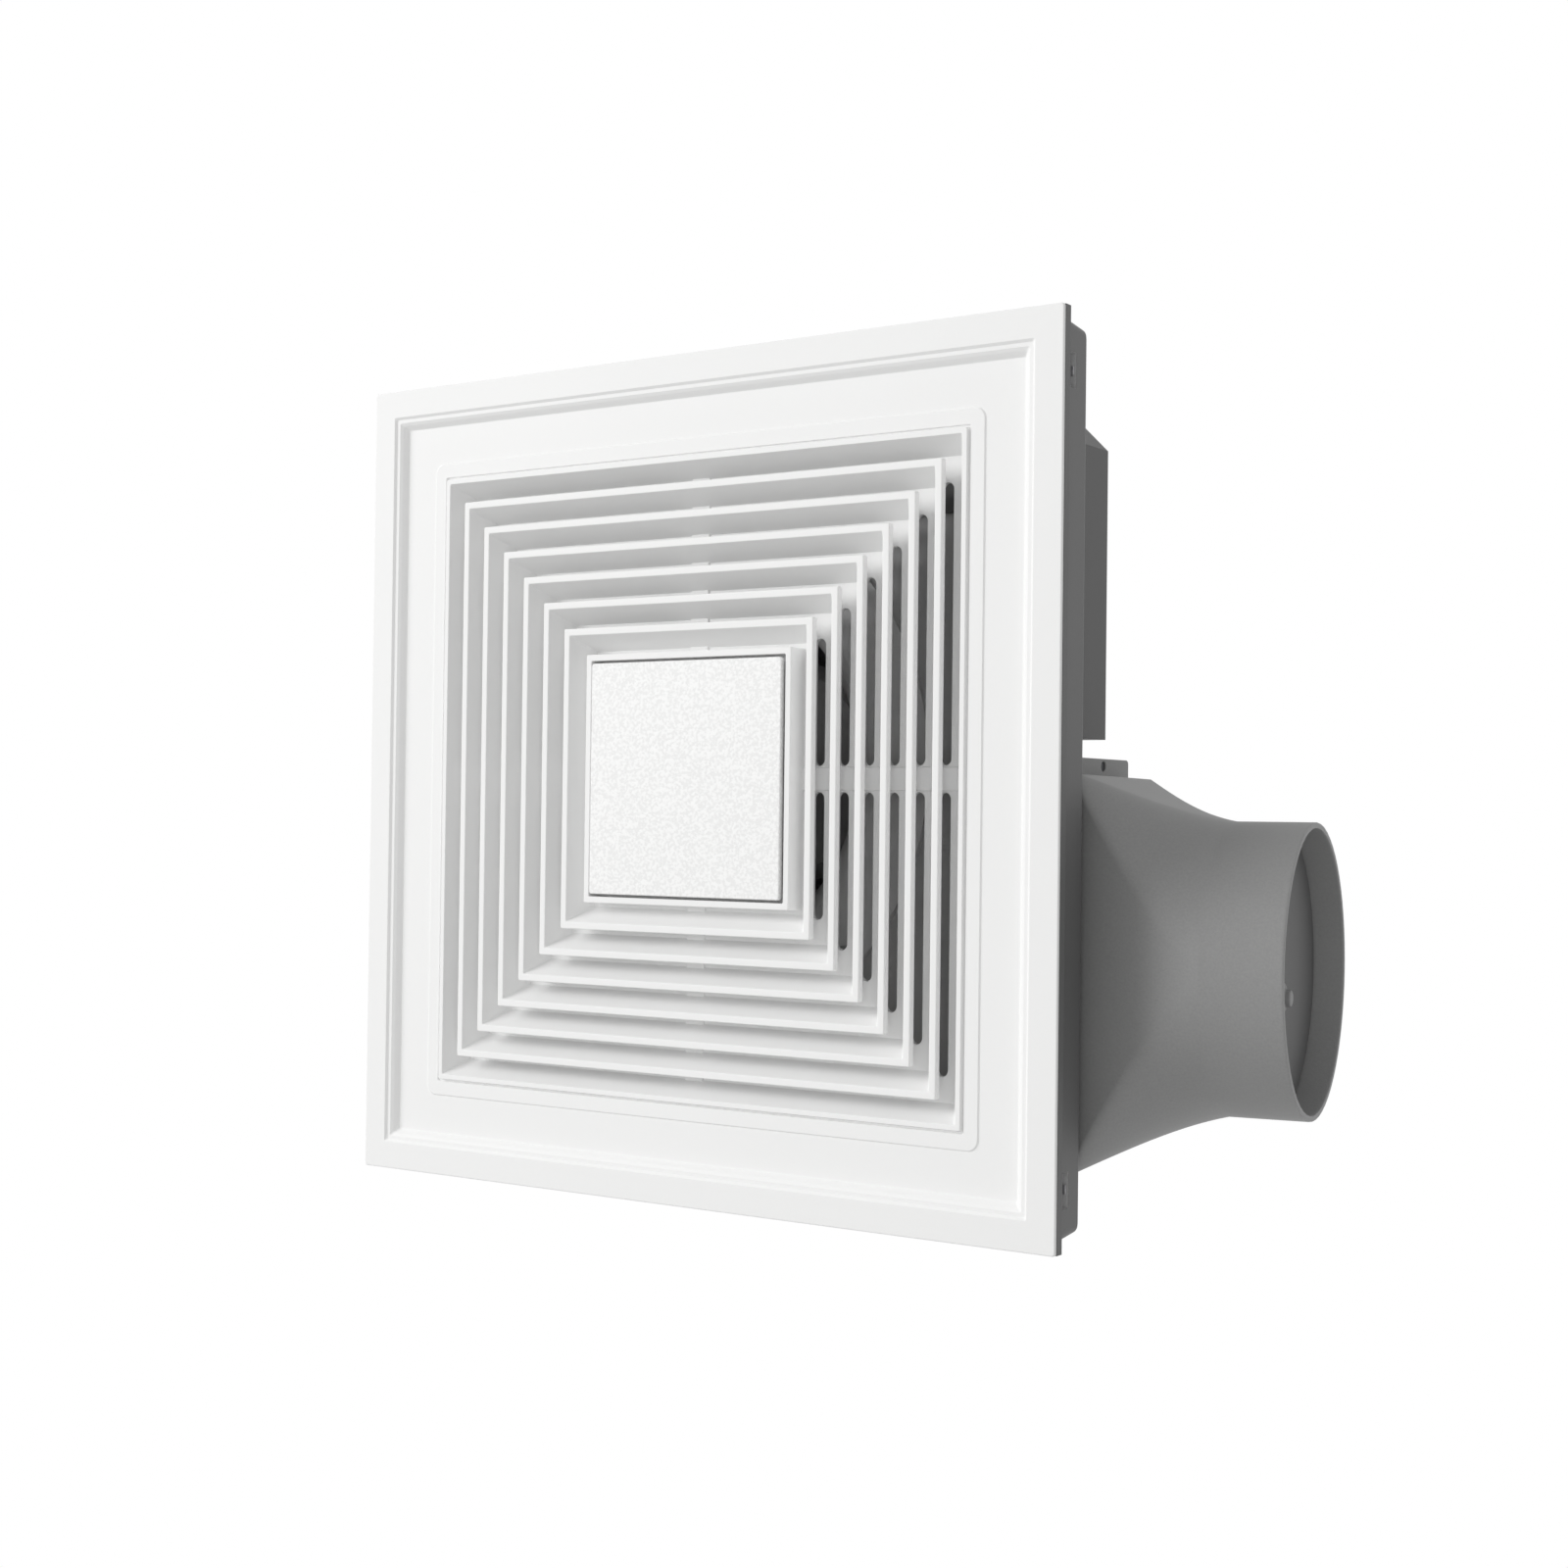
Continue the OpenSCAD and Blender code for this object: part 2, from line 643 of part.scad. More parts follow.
module blower_case() {
    color("dimgray") difference() {
        union() {
            difference() {
                linear_extrude(case_h) polygon(case_outline(0));
                translate([0, 0, -1]) linear_extrude(case_in_top + 1) polygon(case_outline(case_wall));
            }
            // Foot that the case stands on
            linear_extrude(foot_t) difference() {
                intersection() {
                    polygon(case_outline(-foot_w));
                    square(2 * (tray_half - tray_draft - tray_edge_r), center = true);
                }
                polygon(case_outline(case_wall));
            }
            // Outlet neck and its flange
            translate([outlet_x - case_wall, duct_y, outlet_z])
                duct_block(neck_x - outlet_x + case_wall, 0);
            translate([neck_x - case_flange_t, duct_y, outlet_z])
                duct_block(case_flange_t, duct_flange_w);
            // Bosses for the motor screws
            for (a = motor_ear_angles) {
                translate([wheel_x + ear_ring_r * cos(a), wheel_y + ear_ring_r * sin(a), case_h - 1])
                    cylinder(r = 5, h = 4);
            }
            // Stiffening ribs on the top
            for (y = [-rib_y, rib_y]) {
                translate([-rib_len / 2, y - rib_t / 2, case_h - lap])
                    cube([rib_len, rib_t, rib_h + lap]);
            }
        }
        translate([outlet_x - case_wall - 1, duct_y, outlet_z])
            duct_bore(neck_x - outlet_x + case_wall + 2);
        for (p = duct_screw_places) {
            translate([neck_x - case_flange_t - 1, p[0], p[1]]) rotate([0, 90, 0])
                cylinder(r = duct_screw_r + screw_fit, h = case_flange_t + 2, $fn = 24);
        }
        for (p = foot_screw_places) {
            translate([p[0], p[1], -1]) cylinder(r = foot_screw_r + screw_fit, h = foot_t + 2, $fn = 24);
        }
        for (a = motor_ear_angles) {
            translate([wheel_x + ear_ring_r * cos(a), wheel_y + ear_ring_r * sin(a), case_in_top - 1])
                cylinder(r = motor_screw_r + screw_fit, h = 4, $fn = 24);
        }
        translate([gland_x, -case_end - 1, gland_z]) rotate([-90, 0, 0])
            cylinder(r = gland_r, h = case_wall + 2);
    }
}

// Solid block with the outlet's outline, grown by a margin
module duct_block(length, margin) {
    translate([0, -outlet_half_y - margin, -outlet_half_z - min(margin, 2)])
        cube([length, 2 * (outlet_half_y + margin), 2 * (outlet_half_z + min(margin, 2))]);
}

// The outlet's clear opening
module duct_bore(length) {
    translate([0, -bore_y, -bore_z]) cube([length, 2 * bore_y, 2 * bore_z]);
}

module case_screws() {
    color("silver") for (p = foot_screw_places) {
        translate([p[0], p[1], -tray_wall]) pan_screw(foot_screw_r, tray_wall + foot_t + 4);
    }
}

// Spiral wall of the scroll: the radius grows evenly from the tongue to the outlet
function scroll_point(a, extra) = let (
    r = scroll_r + (scroll_end_r - scroll_r) * a / scroll_sweep + extra,
    b = tongue_angle - a
) [wheel_x + r * cos(b), wheel_y + r * sin(b)];

module scroll() {
    out_x = outlet_x - case_wall;
    out_low = duct_y - bore_y;
    out_high = duct_y + bore_y;
    // Inner face of the spiral, the outlet wall, the outer face back to the tongue, and the tongue
    color("black") linear_extrude(case_in_top) polygon(concat(
        [for (a = [0:scroll_step:scroll_sweep]) scroll_point(a, 0)],
        [[out_x, out_high], [out_x, out_high + scroll_t]],
        [for (a = [scroll_sweep:-scroll_step:2 * scroll_step]) scroll_point(a, scroll_t)],
        [[out_x, out_low - scroll_t], [out_x, out_low]]
    ));
}

// Inlet nozzle: a flat seat with a quarter-round throat that leads into the wheel
module inlet_nozzle() {
    top = -tray_wall;
    low = top - nozzle_t;
    r_mid = throat_r + nozzle_r;
    in_r = nozzle_r - nozzle_t;
    color("dimgray") translate([wheel_x, wheel_y, 0]) difference() {
        rotate_extrude($fn = 128) polygon(concat(
            [[nozzle_seat_r, low], [nozzle_seat_r, top], [r_mid, top]],
            [for (a = [270:-10:180]) [r_mid + in_r * cos(a), top + in_r + in_r * sin(a)]],
            [for (a = [180:10:270]) [r_mid + nozzle_r * cos(a), low + nozzle_r + nozzle_r * sin(a)]]
        ));
        for (a = [45:90:315]) {
            rotate(a) translate([nozzle_screw_r, 0, low - 1])
                cylinder(r = foot_screw_r + screw_fit, h = 4, $fn = 24);
        }
    }
}

module nozzle_screws() {
    color("silver") for (p = nozzle_screw_places) {
        translate([p[0], p[1], -tray_wall - nozzle_t]) pan_screw(foot_screw_r, nozzle_t + tray_wall + 1.5);
    }
}

// One forward-curved blade: a thin arc between the wheel's inner and outer radius
module blade() {
    curve_r = blade_len * 0.85;
    inner_r = wheel_r - 0.4 - blade_len;
    translate([inner_r + blade_len / 2, curve_r * 0.72, 0]) {
        points = [for (a = [-135:15:-45]) [curve_r * cos(a), curve_r * sin(a)]];
        inner = [for (a = [-45:-15:-135]) [(curve_r - blade_t) * cos(a), (curve_r - blade_t) * sin(a)]];
        polygon(concat(points, inner));
    }
}

// Blade ring of the wheel: two end rings with the blades between them
module impeller() {
    color("gray") translate([wheel_x, wheel_y, 0]) {
        for (z = [wheel_z, disc_z - cup_t]) {
            rotate_extrude($fn = 128) translate([wheel_r - rim_ring_w, z]) square([rim_ring_w, cup_t]);
        }
        for (i = [0:blade_count - 1]) {
            rotate(i * 360 / blade_count) translate([0, 0, wheel_z + 1])
                linear_extrude(disc_z - wheel_z - 2) blade();
        }
    }
}

// Back disc of the wheel, with the cup that the motor stands in and the hub on the shaft
module wheel_disc() {
    color("gray") translate([wheel_x, wheel_y, 0]) rotate_extrude($fn = 128) polygon([
        [shaft_r + 0.02, hub_low], [hub_r, hub_low], [hub_r + 1, cup_z], [cup_r - cup_bend, cup_z],
        [cup_r, cup_z + cup_bend], [cup_r + cup_lean, disc_z], [wheel_r, disc_z], [wheel_r, disc_z + cup_t],
        [cup_r + 1, disc_z + cup_t], [cup_r - cup_t, cup_z + cup_bend + 1],
        [cup_r - cup_bend - 1, cup_z + cup_t],
        [hub_r + 1, cup_z + cup_t], [hub_r, hub_top], [shaft_r + 0.02, hub_top]
    ]);
}

module rotor_shaft() {
    color("lightgray") translate([wheel_x, wheel_y, 0]) {
        translate([0, 0, shaft_low + 0.6]) cylinder(r = shaft_r, h = shaft_top - shaft_low - 1.2);
        translate([0, 0, shaft_low]) cylinder(r1 = shaft_r - 0.6, r2 = shaft_r, h = 0.6);
        translate([0, 0, shaft_top - 0.6]) cylinder(r1 = shaft_r, r2 = shaft_r - 0.6, h = 0.6);
    }
}

module rotor_core() {
    color("gray") translate([wheel_x, wheel_y, motor_mid - stator_half_h - 1]) difference() {
        cylinder(r = rotor_r, h = 2 * stator_half_h + 2);
        translate([0, 0, -1]) cylinder(r = shaft_r + 0.02, h = 2 * stator_half_h + 4);
    }
}

module wheel_washer() {
    color("silver") translate([wheel_x, wheel_y, hub_low - washer_t]) difference() {
        cylinder(r = hub_r - 0.5, h = washer_t);
        translate([0, 0, -1]) cylinder(r = shaft_r + 0.1, h = washer_t + 2);
    }
}

module wheel_nut() {
    color("silver") translate([wheel_x, wheel_y, hub_low - washer_t - nut_h]) difference() {
        intersection() {
            cylinder(r = nut_r, h = nut_h, $fn = 6);
            cylinder(r1 = nut_r - 0.8, r2 = nut_r + 4.2, h = nut_h);
        }
        translate([0, 0, -1]) cylinder(r = shaft_r + 0.02, h = nut_h + 2);
    }
}

// Deep-drawn cup of the motor, open upward, with a bearing seat in its floor
module motor_cup(height) {
    difference() {
        union() {
            cylinder(r = motor_r, h = height, $fn = 96);
            translate([0, 0, -1.5]) cylinder(r = bearing_r + 2, h = 2);
        }
        translate([0, 0, shell_t]) cylinder(r = motor_r - shell_t, h = height, $fn = 96);
        translate([0, 0, -2]) cylinder(r = shaft_r + 0.6, h = 10);
        for (a = [0:45:315]) {
            rotate(a) translate([vent_ring_r, 0, -1]) cylinder(r = vent_r, h = 4, $fn = 24);
        }
    }
    difference() {
        translate([0, 0, shell_t - 0.2]) cylinder(r = bearing_r + 1.6, h = 5);
        translate([0, 0, -1]) cylinder(r = bearing_r, h = 8);
    }
}

module motor_shell_lower() {
    color("lightgray") translate([wheel_x, wheel_y, motor_z]) motor_cup(motor_mid - motor_z);
}

module motor_shell_upper() {
    color("lightgray") {
        translate([wheel_x, wheel_y, motor_top]) mirror([0, 0, 1]) motor_cup(motor_top - motor_mid);
        translate([wheel_x, wheel_y, motor_top - 1.6]) difference() {
            union() {
                cylinder(r = motor_r + 1, h = 1.6, $fn = 96);
                for (a = motor_ear_angles) {
                    rotate(a) translate([ear_ring_r, 0, 0]) cylinder(r = ear_r, h = 1.6);
                    rotate(a) translate([ear_ring_r / 2, -ear_r, 0])
                        cube([ear_ring_r / 2, 2 * ear_r, 1.6]);
                }
            }
            translate([0, 0, -1]) cylinder(r = motor_r - 4, h = 4);
            for (a = motor_ear_angles) {
                rotate(a) translate([ear_ring_r, 0, -1])
                    cylinder(r = motor_screw_r + screw_fit, h = 4, $fn = 24);
            }
        }
    }
}

module motor_screws() {
    color("silver") for (a = motor_ear_angles) {
        translate([wheel_x + ear_ring_r * cos(a), wheel_y + ear_ring_r * sin(a), motor_top - 1.6])
            pan_screw(motor_screw_r, case_h - motor_top + 2);
    }
}

module motor_bushes() {
    color("black") for (a = motor_ear_angles) {
        translate([wheel_x + ear_ring_r * cos(a), wheel_y + ear_ring_r * sin(a), motor_top]) difference() {
            cylinder(r = bush_r, h = case_in_top - motor_top);
            translate([0, 0, -1])
                cylinder(r = motor_screw_r + screw_fit, h = case_in_top - motor_top + 2, $fn = 24);
        }
    }
}

module shaft_bearings() {
    color("goldenrod") for (z = [motor_z + shell_t, motor_top - shell_t - bearing_h]) {
        translate([wheel_x, wheel_y, z]) difference() {
            cylinder(r = bearing_r - 0.02, h = bearing_h);
            translate([0, 0, -1]) cylinder(r = shaft_r + shaft_clear, h = bearing_h + 2);
        }
    }
}

module stator_core() {
    color("gray") translate([wheel_x, wheel_y, motor_mid - stator_half_h]) difference() {
        cylinder(r = stator_r, h = 2 * stator_half_h, $fn = 96);
        translate([0, 0, -1]) cylinder(r = stator_bore, h = 2 * stator_half_h + 2, $fn = 96);
    }
}

// End turns of the stator winding, above and below the core
module stator_winding() {
    ring_r = (stator_bore + stator_r) / 2;
    color("sienna") for (s = [-1, 1]) {
        translate([wheel_x, wheel_y, motor_mid + s * (stator_half_h + winding_r)])
            rotate_extrude($fn = 96) translate([ring_r, 0]) {
                square([2 * winding_half_w, 2 * winding_r], center = true);
                translate([-winding_half_w, 0]) circle(winding_r, $fn = 32);
                translate([winding_half_w, 0]) circle(winding_r, $fn = 32);
            }
    }
}

// Run capacitor under the case's top, with its two pins downward
module capacitor() {
    l = capacitor_size[0];
    w = capacitor_size[1];
    color("whitesmoke") translate([wiring_x - l / 2, wiring_y - w / 2, case_in_top - capacitor_size[2]]) {
        cube(capacitor_size);
        for (x = [capacitor_pin_x, l - capacitor_pin_x]) {
            translate([x, w / 2, -2]) cylinder(r = 2.5, h = 2 + lap);
        }
    }
}

// Sheet strap round the capacitor, with a tab on each side against the case's top
module capacitor_clip() {
    w = capacitor_size[1];
    h = capacitor_size[2] + clip_sheet;
    color("silver") translate([wiring_x - capacitor_clip_w / 2, wiring_y, case_in_top]) {
        for (y = [0, 1]) {
            mirror([0, y, 0]) {
                translate([0, w / 2, -h]) cube([capacitor_clip_w, clip_sheet, h]);
                translate([0, w / 2, -clip_sheet]) cube([capacitor_clip_w, clip_tab, clip_sheet]);
            }
        }
        translate([0, -w / 2 - clip_sheet, -h]) cube([capacitor_clip_w, w + 2 * clip_sheet, clip_sheet]);
    }
}

module terminal_block() {
    color("ivory") translate([terminal_x, -case_end + case_wall + terminal_gap, 0]) difference() {
        union() {
            cube(terminal_size);
            for (i = [0:3]) {
                translate([0.5 + i * terminal_pitch, terminal_cap_in, terminal_size[2] - 1])
                    cube([terminal_pitch - 1, terminal_size[1] - 2 * terminal_cap_in, terminal_cap_h]);
            }
        }
        for (i = [0:3]) {
            translate([(i + 0.5) * terminal_pitch, terminal_size[1] / 2, 0.6 * terminal_size[2]])
                cylinder(r = terminal_screw_r, h = terminal_size[2] + terminal_cap_h, $fn = 24);
        }
    }
}

module wiring_cover() {
    w = wiring_cover_size[0];
    l = wiring_cover_size[1];
    color("dimgray") translate([wiring_x, wiring_y, -tray_wall - wiring_cover_t]) difference() {
        union() {
            translate([-w / 2, -l / 2, 0]) cube([w, l, wiring_cover_t]);
            translate([-wiring_hole[0] / 2 + fit, -wiring_hole[1] / 2 + fit, wiring_cover_t - lap])
                cube([wiring_hole[0] - 2 * fit, wiring_hole[1] - 2 * fit, tray_wall]);
        }
        for (x = [-1, 1]) {
            translate([x * (w / 2 - cover_screw_in), 0, -1])
                cylinder(r = foot_screw_r + screw_fit, h = wiring_cover_t + 2, $fn = 24);
        }
    }
}

module wiring_cover_screws() {
    color("silver") for (x = [-1, 1]) {
        translate([wiring_x + x * (wiring_cover_size[0] / 2 - cover_screw_in),
            wiring_y, -tray_wall - wiring_cover_t])
            pan_screw(foot_screw_r, tray_wall + wiring_cover_t + 2);
    }
}

// Rubber gland that the supply cable passes through
module cable_gland() {
    color("black") translate([gland_x, -case_end, gland_z]) rotate([-90, 0, 0]) difference() {
        union() {
            translate([0, 0, -3]) cylinder(r = gland_r + 3, h = 3);
            translate([0, 0, -1]) cylinder(r = gland_r - 0.05, h = case_wall + 2);
            translate([0, 0, case_wall]) cylinder(r1 = gland_r + 2, r2 = gland_r, h = 3);
        }
        translate([0, 0, -4]) cylinder(r = cable_r, h = case_wall + 10);
    }
}

// Places the children on the spigot's axis: X runs out of the mouth, Z stays up
module spigot_frame(back) {
    translate(mouth) rotate([0, -spigot_tilt, 0]) translate([-back, 0, 0]) children();
}

// One section of the square-to-round loft at step t from 0 to 1, inside a wall.
// All sections are square to the spigot's axis, so the straight square part ends on a slant.
// The last section is a little way inside the tube's wall.
function loft_section(t, wall) = let (
    grow = (t + sin(90 * t)) / 2,
    end_c = mouth - (spigot_len - loft_in) * spigot_axis,
    c = [loft_x0, duct_y, outlet_z] * (1 - t) + end_c * t,
    r = loft_corner_r * (1 - grow) + loft_r * grow - wall,
    ay = (outlet_half_y - loft_corner_r) * (1 - grow) + 0.05,
    az = (outlet_half_z / cos(spigot_tilt) - loft_corner_r) * (1 - grow) + 0.05
) [for (q = [0:3], i = [0:loft_fan]) let (
    a = 90 * q + 90 * i / loft_fan,
    y = (q == 0 || q == 3 ? ay : -ay) + r * cos(a),
    z = (q < 2 ? az : -az) + r * sin(a)
) c + [-z * sin(spigot_tilt), y, z * cos(spigot_tilt)]];

// Shell of the loft: outer skin out, inner skin back, closed at both ends
module loft_shell(wall) {
    start = duct_flange_x - 0.5;
    outer = concat(
        [[for (p = loft_section(0, 0)) [start, p[1], p[2]]]],
        [for (j = [0:loft_steps]) loft_section(j / loft_steps, 0)],
        [[for (p = loft_section(1, 0)) p + loft_lap * spigot_axis]]
    );
    inner = concat(
        [[for (p = loft_section(1, wall)) p + loft_lap * spigot_axis]],
        [for (j = [loft_steps:-1:0]) loft_section(j / loft_steps, wall)],
        [[for (p = loft_section(0, wall)) [start, p[1], p[2]]]]
    );
    rings = concat(outer, inner);
    n = len(rings[0]);
    m = len(rings);
    points = [for (ring = rings, p = ring) p];
    sides = [for (j = [0:m - 1], i = [0:n - 1]) let (k = (j + 1) % m, h = (i + 1) % n)
        each [[j * n + i, k * n + i, k * n + h], [j * n + i, k * n + h, j * n + h]]];
    polyhedron(points, sides, convexity = 6);
}

// Straight round tube of the spigot, on the spigot's axis
module spigot_tube() {
    spigot_frame(spigot_len) rotate([0, 90, 0]) difference() {
        cylinder(r = spigot_r, h = spigot_len, $fn = 128);
        translate([0, 0, -1]) cylinder(r = spigot_bore, h = spigot_len + 2, $fn = 128);
    }
}

// Seat that the lower part of the closed flap rests against
module flap_seat() {
    spigot_frame(flap_back + flap_t / 2 + seal_t + fit + seat_t) difference() {
        rotate([0, 90, 0]) cylinder(r = spigot_bore + 0.5, h = seat_t, $fn = 128);
        translate([-1, 0, 0]) rotate([0, 90, 0])
            cylinder(r = spigot_bore - seat_w, h = seat_t + 2, $fn = 128);
        translate([-1, -spigot_r, pivot_up - lug_r - 3]) cube([seat_t + 2, 2 * spigot_r, 2 * spigot_r]);
    }
}

// Lugs behind the flap that carry the ends of its pin
module pin_lugs() {
    for (s = [-1, 1]) {
        spigot_frame(flap_back + flap_off) difference() {
            intersection() {
                translate([0, s * (lug_face + lug_len / 2 + 1), pivot_up]) rotate([90, 0, 0])
                    cylinder(r = lug_r, h = lug_len + 2, center = true);
                rotate([0, 90, 0]) cylinder(r = spigot_bore + 0.5, h = 20, center = true, $fn = 128);
            }
            translate([0, 0, pivot_up]) rotate([90, 0, 0])
                cylinder(r = pin_r + pin_clear, h = 2 * pin_half + 0.4, center = true);
        }
    }
}

// Square-to-round duct adapter with its round spigot
module duct_adapter() {
    color("gray") {
        loft_shell(spigot_wall - 0.6);
        translate([duct_flange_x - adapter_flange_t, duct_y, outlet_z]) difference() {
            duct_block(adapter_flange_t, duct_flange_w);
            translate([-1, 0, 0]) duct_bore(adapter_flange_t + 2);
            for (p = duct_screw_places) {
                translate([-1, p[0] - duct_y, p[1] - outlet_z]) rotate([0, 90, 0])
                    cylinder(r = duct_screw_r + screw_fit, h = adapter_flange_t + 2, $fn = 24);
            }
        }
        spigot_tube();
        flap_seat();
        pin_lugs();
    }
}

module adapter_gasket() {
    color("black") translate([neck_x, duct_y, outlet_z]) difference() {
        duct_block(gasket_t, duct_flange_w - 0.5);
        translate([-1, 0, 0]) duct_bore(gasket_t + 2);
        for (p = duct_screw_places) {
            translate([-1, p[0] - duct_y, p[1] - outlet_z]) rotate([0, 90, 0])
                cylinder(r = duct_screw_r + screw_fit, h = gasket_t + 2, $fn = 24);
        }
    }
}

module adapter_screws() {
    color("silver") for (p = duct_screw_places) {
        translate([neck_x - case_flange_t, p[0], p[1]]) rotate([0, 90, 0])
            pan_screw(duct_screw_r, case_flange_t + gasket_t + adapter_flange_t - 0.5);
    }
}

module damper_flap() {
    knuckle_len = 2 * (lug_face - lug_gap);
    color("dimgray") spigot_frame(flap_back) difference() {
        union() {
            rotate([0, 90, 0]) cylinder(r = flap_r, h = flap_t, center = true, $fn = 128);
            // Knuckle along the pin, and the bar that joins it to the flap's inner face
            translate([-flap_off, 0, pivot_up]) rotate([90, 0, 0])
                cylinder(r = lug_r, h = knuckle_len, center = true);
            translate([-flap_off, -knuckle_len / 2, pivot_up - lug_r])
                cube([flap_off, knuckle_len, 2 * lug_r]);
            // Stiffening ribs on the inner face
            for (y = [-18, 18]) {
                translate([-flap_t / 2 - 1.6, y - 0.8, -34]) cube([2, 1.6, 34 + pivot_up]);
            }
            // Peg on the outer face
            translate([0, flap_peg[0], flap_peg[1]]) rotate([0, 90, 0])
                cylinder(r = flap_peg_r, h = flap_t / 2 + flap_peg_h);
        }
        translate([-flap_off, 0, pivot_up]) rotate([90, 0, 0])
            cylinder(r = pin_r + 0.02, h = 2 * spigot_r, center = true);
    }
}

module damper_pin() {
    color("silver") spigot_frame(flap_back + flap_off) translate([0, 0, pivot_up]) rotate([90, 0, 0])
        cylinder(r = pin_r, h = 2 * pin_half, center = true);
}

// Foam ring on the flap's inner face, below the pivot
module damper_seal() {
    color("black") spigot_frame(flap_back + flap_t / 2 + seal_t) difference() {
        rotate([0, 90, 0]) cylinder(r = flap_r - 0.3, h = seal_t, $fn = 128);
        translate([-1, 0, 0]) rotate([0, 90, 0]) cylinder(r = flap_r - 5, h = seal_t + 2, $fn = 128);
        translate([-1, -spigot_r, pivot_up - lug_r - 1]) cube([seal_t + 2, 2 * spigot_r, 2 * spigot_r]);
    }
}

face_panel();
centre_plate();
tray();
panel_clips();
blower_case();
case_screws();
scroll();
inlet_nozzle();
nozzle_screws();
impeller();
wheel_disc();
rotor_shaft();
rotor_core();
wheel_washer();
wheel_nut();
motor_shell_lower();
motor_shell_upper();
motor_screws();
motor_bushes();
shaft_bearings();
stator_core();
stator_winding();
capacitor();
capacitor_clip();
terminal_block();
wiring_cover();
wiring_cover_screws();
cable_gland();
duct_adapter();
adapter_gasket();
adapter_screws();
damper_flap();
damper_pin();
damper_seal();
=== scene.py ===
import math
import bmesh
import bpy
from mathutils import Matrix, Vector


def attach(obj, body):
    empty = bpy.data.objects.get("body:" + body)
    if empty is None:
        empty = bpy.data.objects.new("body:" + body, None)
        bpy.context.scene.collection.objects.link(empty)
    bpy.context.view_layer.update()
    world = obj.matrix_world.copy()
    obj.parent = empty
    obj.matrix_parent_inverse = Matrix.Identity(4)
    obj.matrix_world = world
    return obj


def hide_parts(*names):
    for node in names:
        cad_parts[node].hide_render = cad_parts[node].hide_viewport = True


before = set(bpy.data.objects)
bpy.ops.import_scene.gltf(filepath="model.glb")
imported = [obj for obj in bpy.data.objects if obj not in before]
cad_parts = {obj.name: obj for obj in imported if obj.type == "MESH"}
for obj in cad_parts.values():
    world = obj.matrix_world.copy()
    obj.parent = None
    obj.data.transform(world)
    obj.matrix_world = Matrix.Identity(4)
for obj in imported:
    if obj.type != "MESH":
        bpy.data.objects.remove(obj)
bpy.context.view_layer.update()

# Studio: the camera of the photograph, a wide pale floor far below the fan,
# a white room all round, a soft key lamp to the left of the grille and a weak one to the right.
camera_place = Vector((0.4772, 0.0144, -0.6539))
camera_right = Vector((0.8248, -0.0121, 0.5654)).normalized()
camera_ahead = Vector((-0.5655, -0.0163, 0.8246)).normalized()
camera_up = camera_right.cross(camera_ahead).normalized()
lens_data = bpy.data.cameras.new("photo_camera")
lens_data.lens = 51.55
lens_data.sensor_width = 36.0
lens_data.clip_start = 0.01
camera = bpy.data.objects.new("photo_camera", lens_data)
camera.matrix_world = Matrix((camera_right, camera_up, -camera_ahead)).transposed().to_4x4()
camera.location = camera_place
bpy.context.scene.collection.objects.link(camera)
bpy.context.scene.camera = camera
bpy.context.scene.view_settings.view_transform = "Standard"


def value_node(tree, kind, **settings):
    """A node with its properties and its inputs set by name."""
    node = tree.nodes.new(kind)
    for key, value in settings.items():
        if key in node.inputs:
            node.inputs[key].default_value = value
        else:
            setattr(node, key, value)
    return node


def maths(tree, operation, *values):
    """The output of a math node, whose values are numbers or the outputs of other nodes."""
    node = value_node(tree, "ShaderNodeMath", operation=operation)
    for socket, value in zip(node.inputs, values):
        if isinstance(value, bpy.types.NodeSocket):
            tree.links.new(value, socket)
        else:
            socket.default_value = value
    return node.outputs[0]


def white_to_camera(tree, plain, white, share, to_socket):
    """Mixes a share of white into what the camera, mirrors and glass see of a plain shader."""
    rays = tree.nodes.new("ShaderNodeLightPath").outputs
    seen = maths(tree, "MAXIMUM", rays["Is Camera Ray"], rays["Is Glossy Ray"])
    seen = maths(tree, "MAXIMUM", seen, rays["Is Transmission Ray"])
    mix = tree.nodes.new("ShaderNodeMixShader")
    tree.links.new(maths(tree, "MULTIPLY", seen, share), mix.inputs["Fac"])
    tree.links.new(plain.outputs[0], mix.inputs[1])
    tree.links.new(white.outputs[0], mix.inputs[2])
    tree.links.new(mix.outputs[0], to_socket)


room = bpy.data.worlds.new("white_room")
room.use_nodes = True
room.node_tree.nodes.clear()
room_out = room.node_tree.nodes.new("ShaderNodeOutputWorld")
room_light = value_node(room.node_tree, "ShaderNodeBackground", Color=(0.995, 0.998, 1, 1), Strength=0.49)
room_white = value_node(room.node_tree, "ShaderNodeBackground", Color=(1, 1, 1, 1), Strength=1.0)
white_to_camera(room.node_tree, room_light, room_white, 1.0, room_out.inputs["Surface"])
bpy.context.scene.world = room

floor_half, floor_z, floor_white_share = 90.0, -4.6, 0.85
floor_mesh = bpy.data.meshes.new("floor")
floor_mesh.from_pydata(
    [(-floor_half, -floor_half, floor_z), (floor_half, -floor_half, floor_z),
     (floor_half, floor_half, floor_z), (-floor_half, floor_half, floor_z)], [], [(0, 1, 2, 3)])
floor = bpy.data.objects.new("floor", floor_mesh)
bpy.context.scene.collection.objects.link(floor)
floor_finish = bpy.data.materials.new("floor_pale")
floor_finish.use_nodes = True
floor_plain = floor_finish.node_tree.nodes["Principled BSDF"]
floor_plain.inputs["Base Color"].default_value = (0.86, 0.86, 0.85, 1)
floor_plain.inputs["Roughness"].default_value = 0.8
floor_white = value_node(floor_finish.node_tree, "ShaderNodeEmission", Color=(1, 1, 1, 1), Strength=1.0)
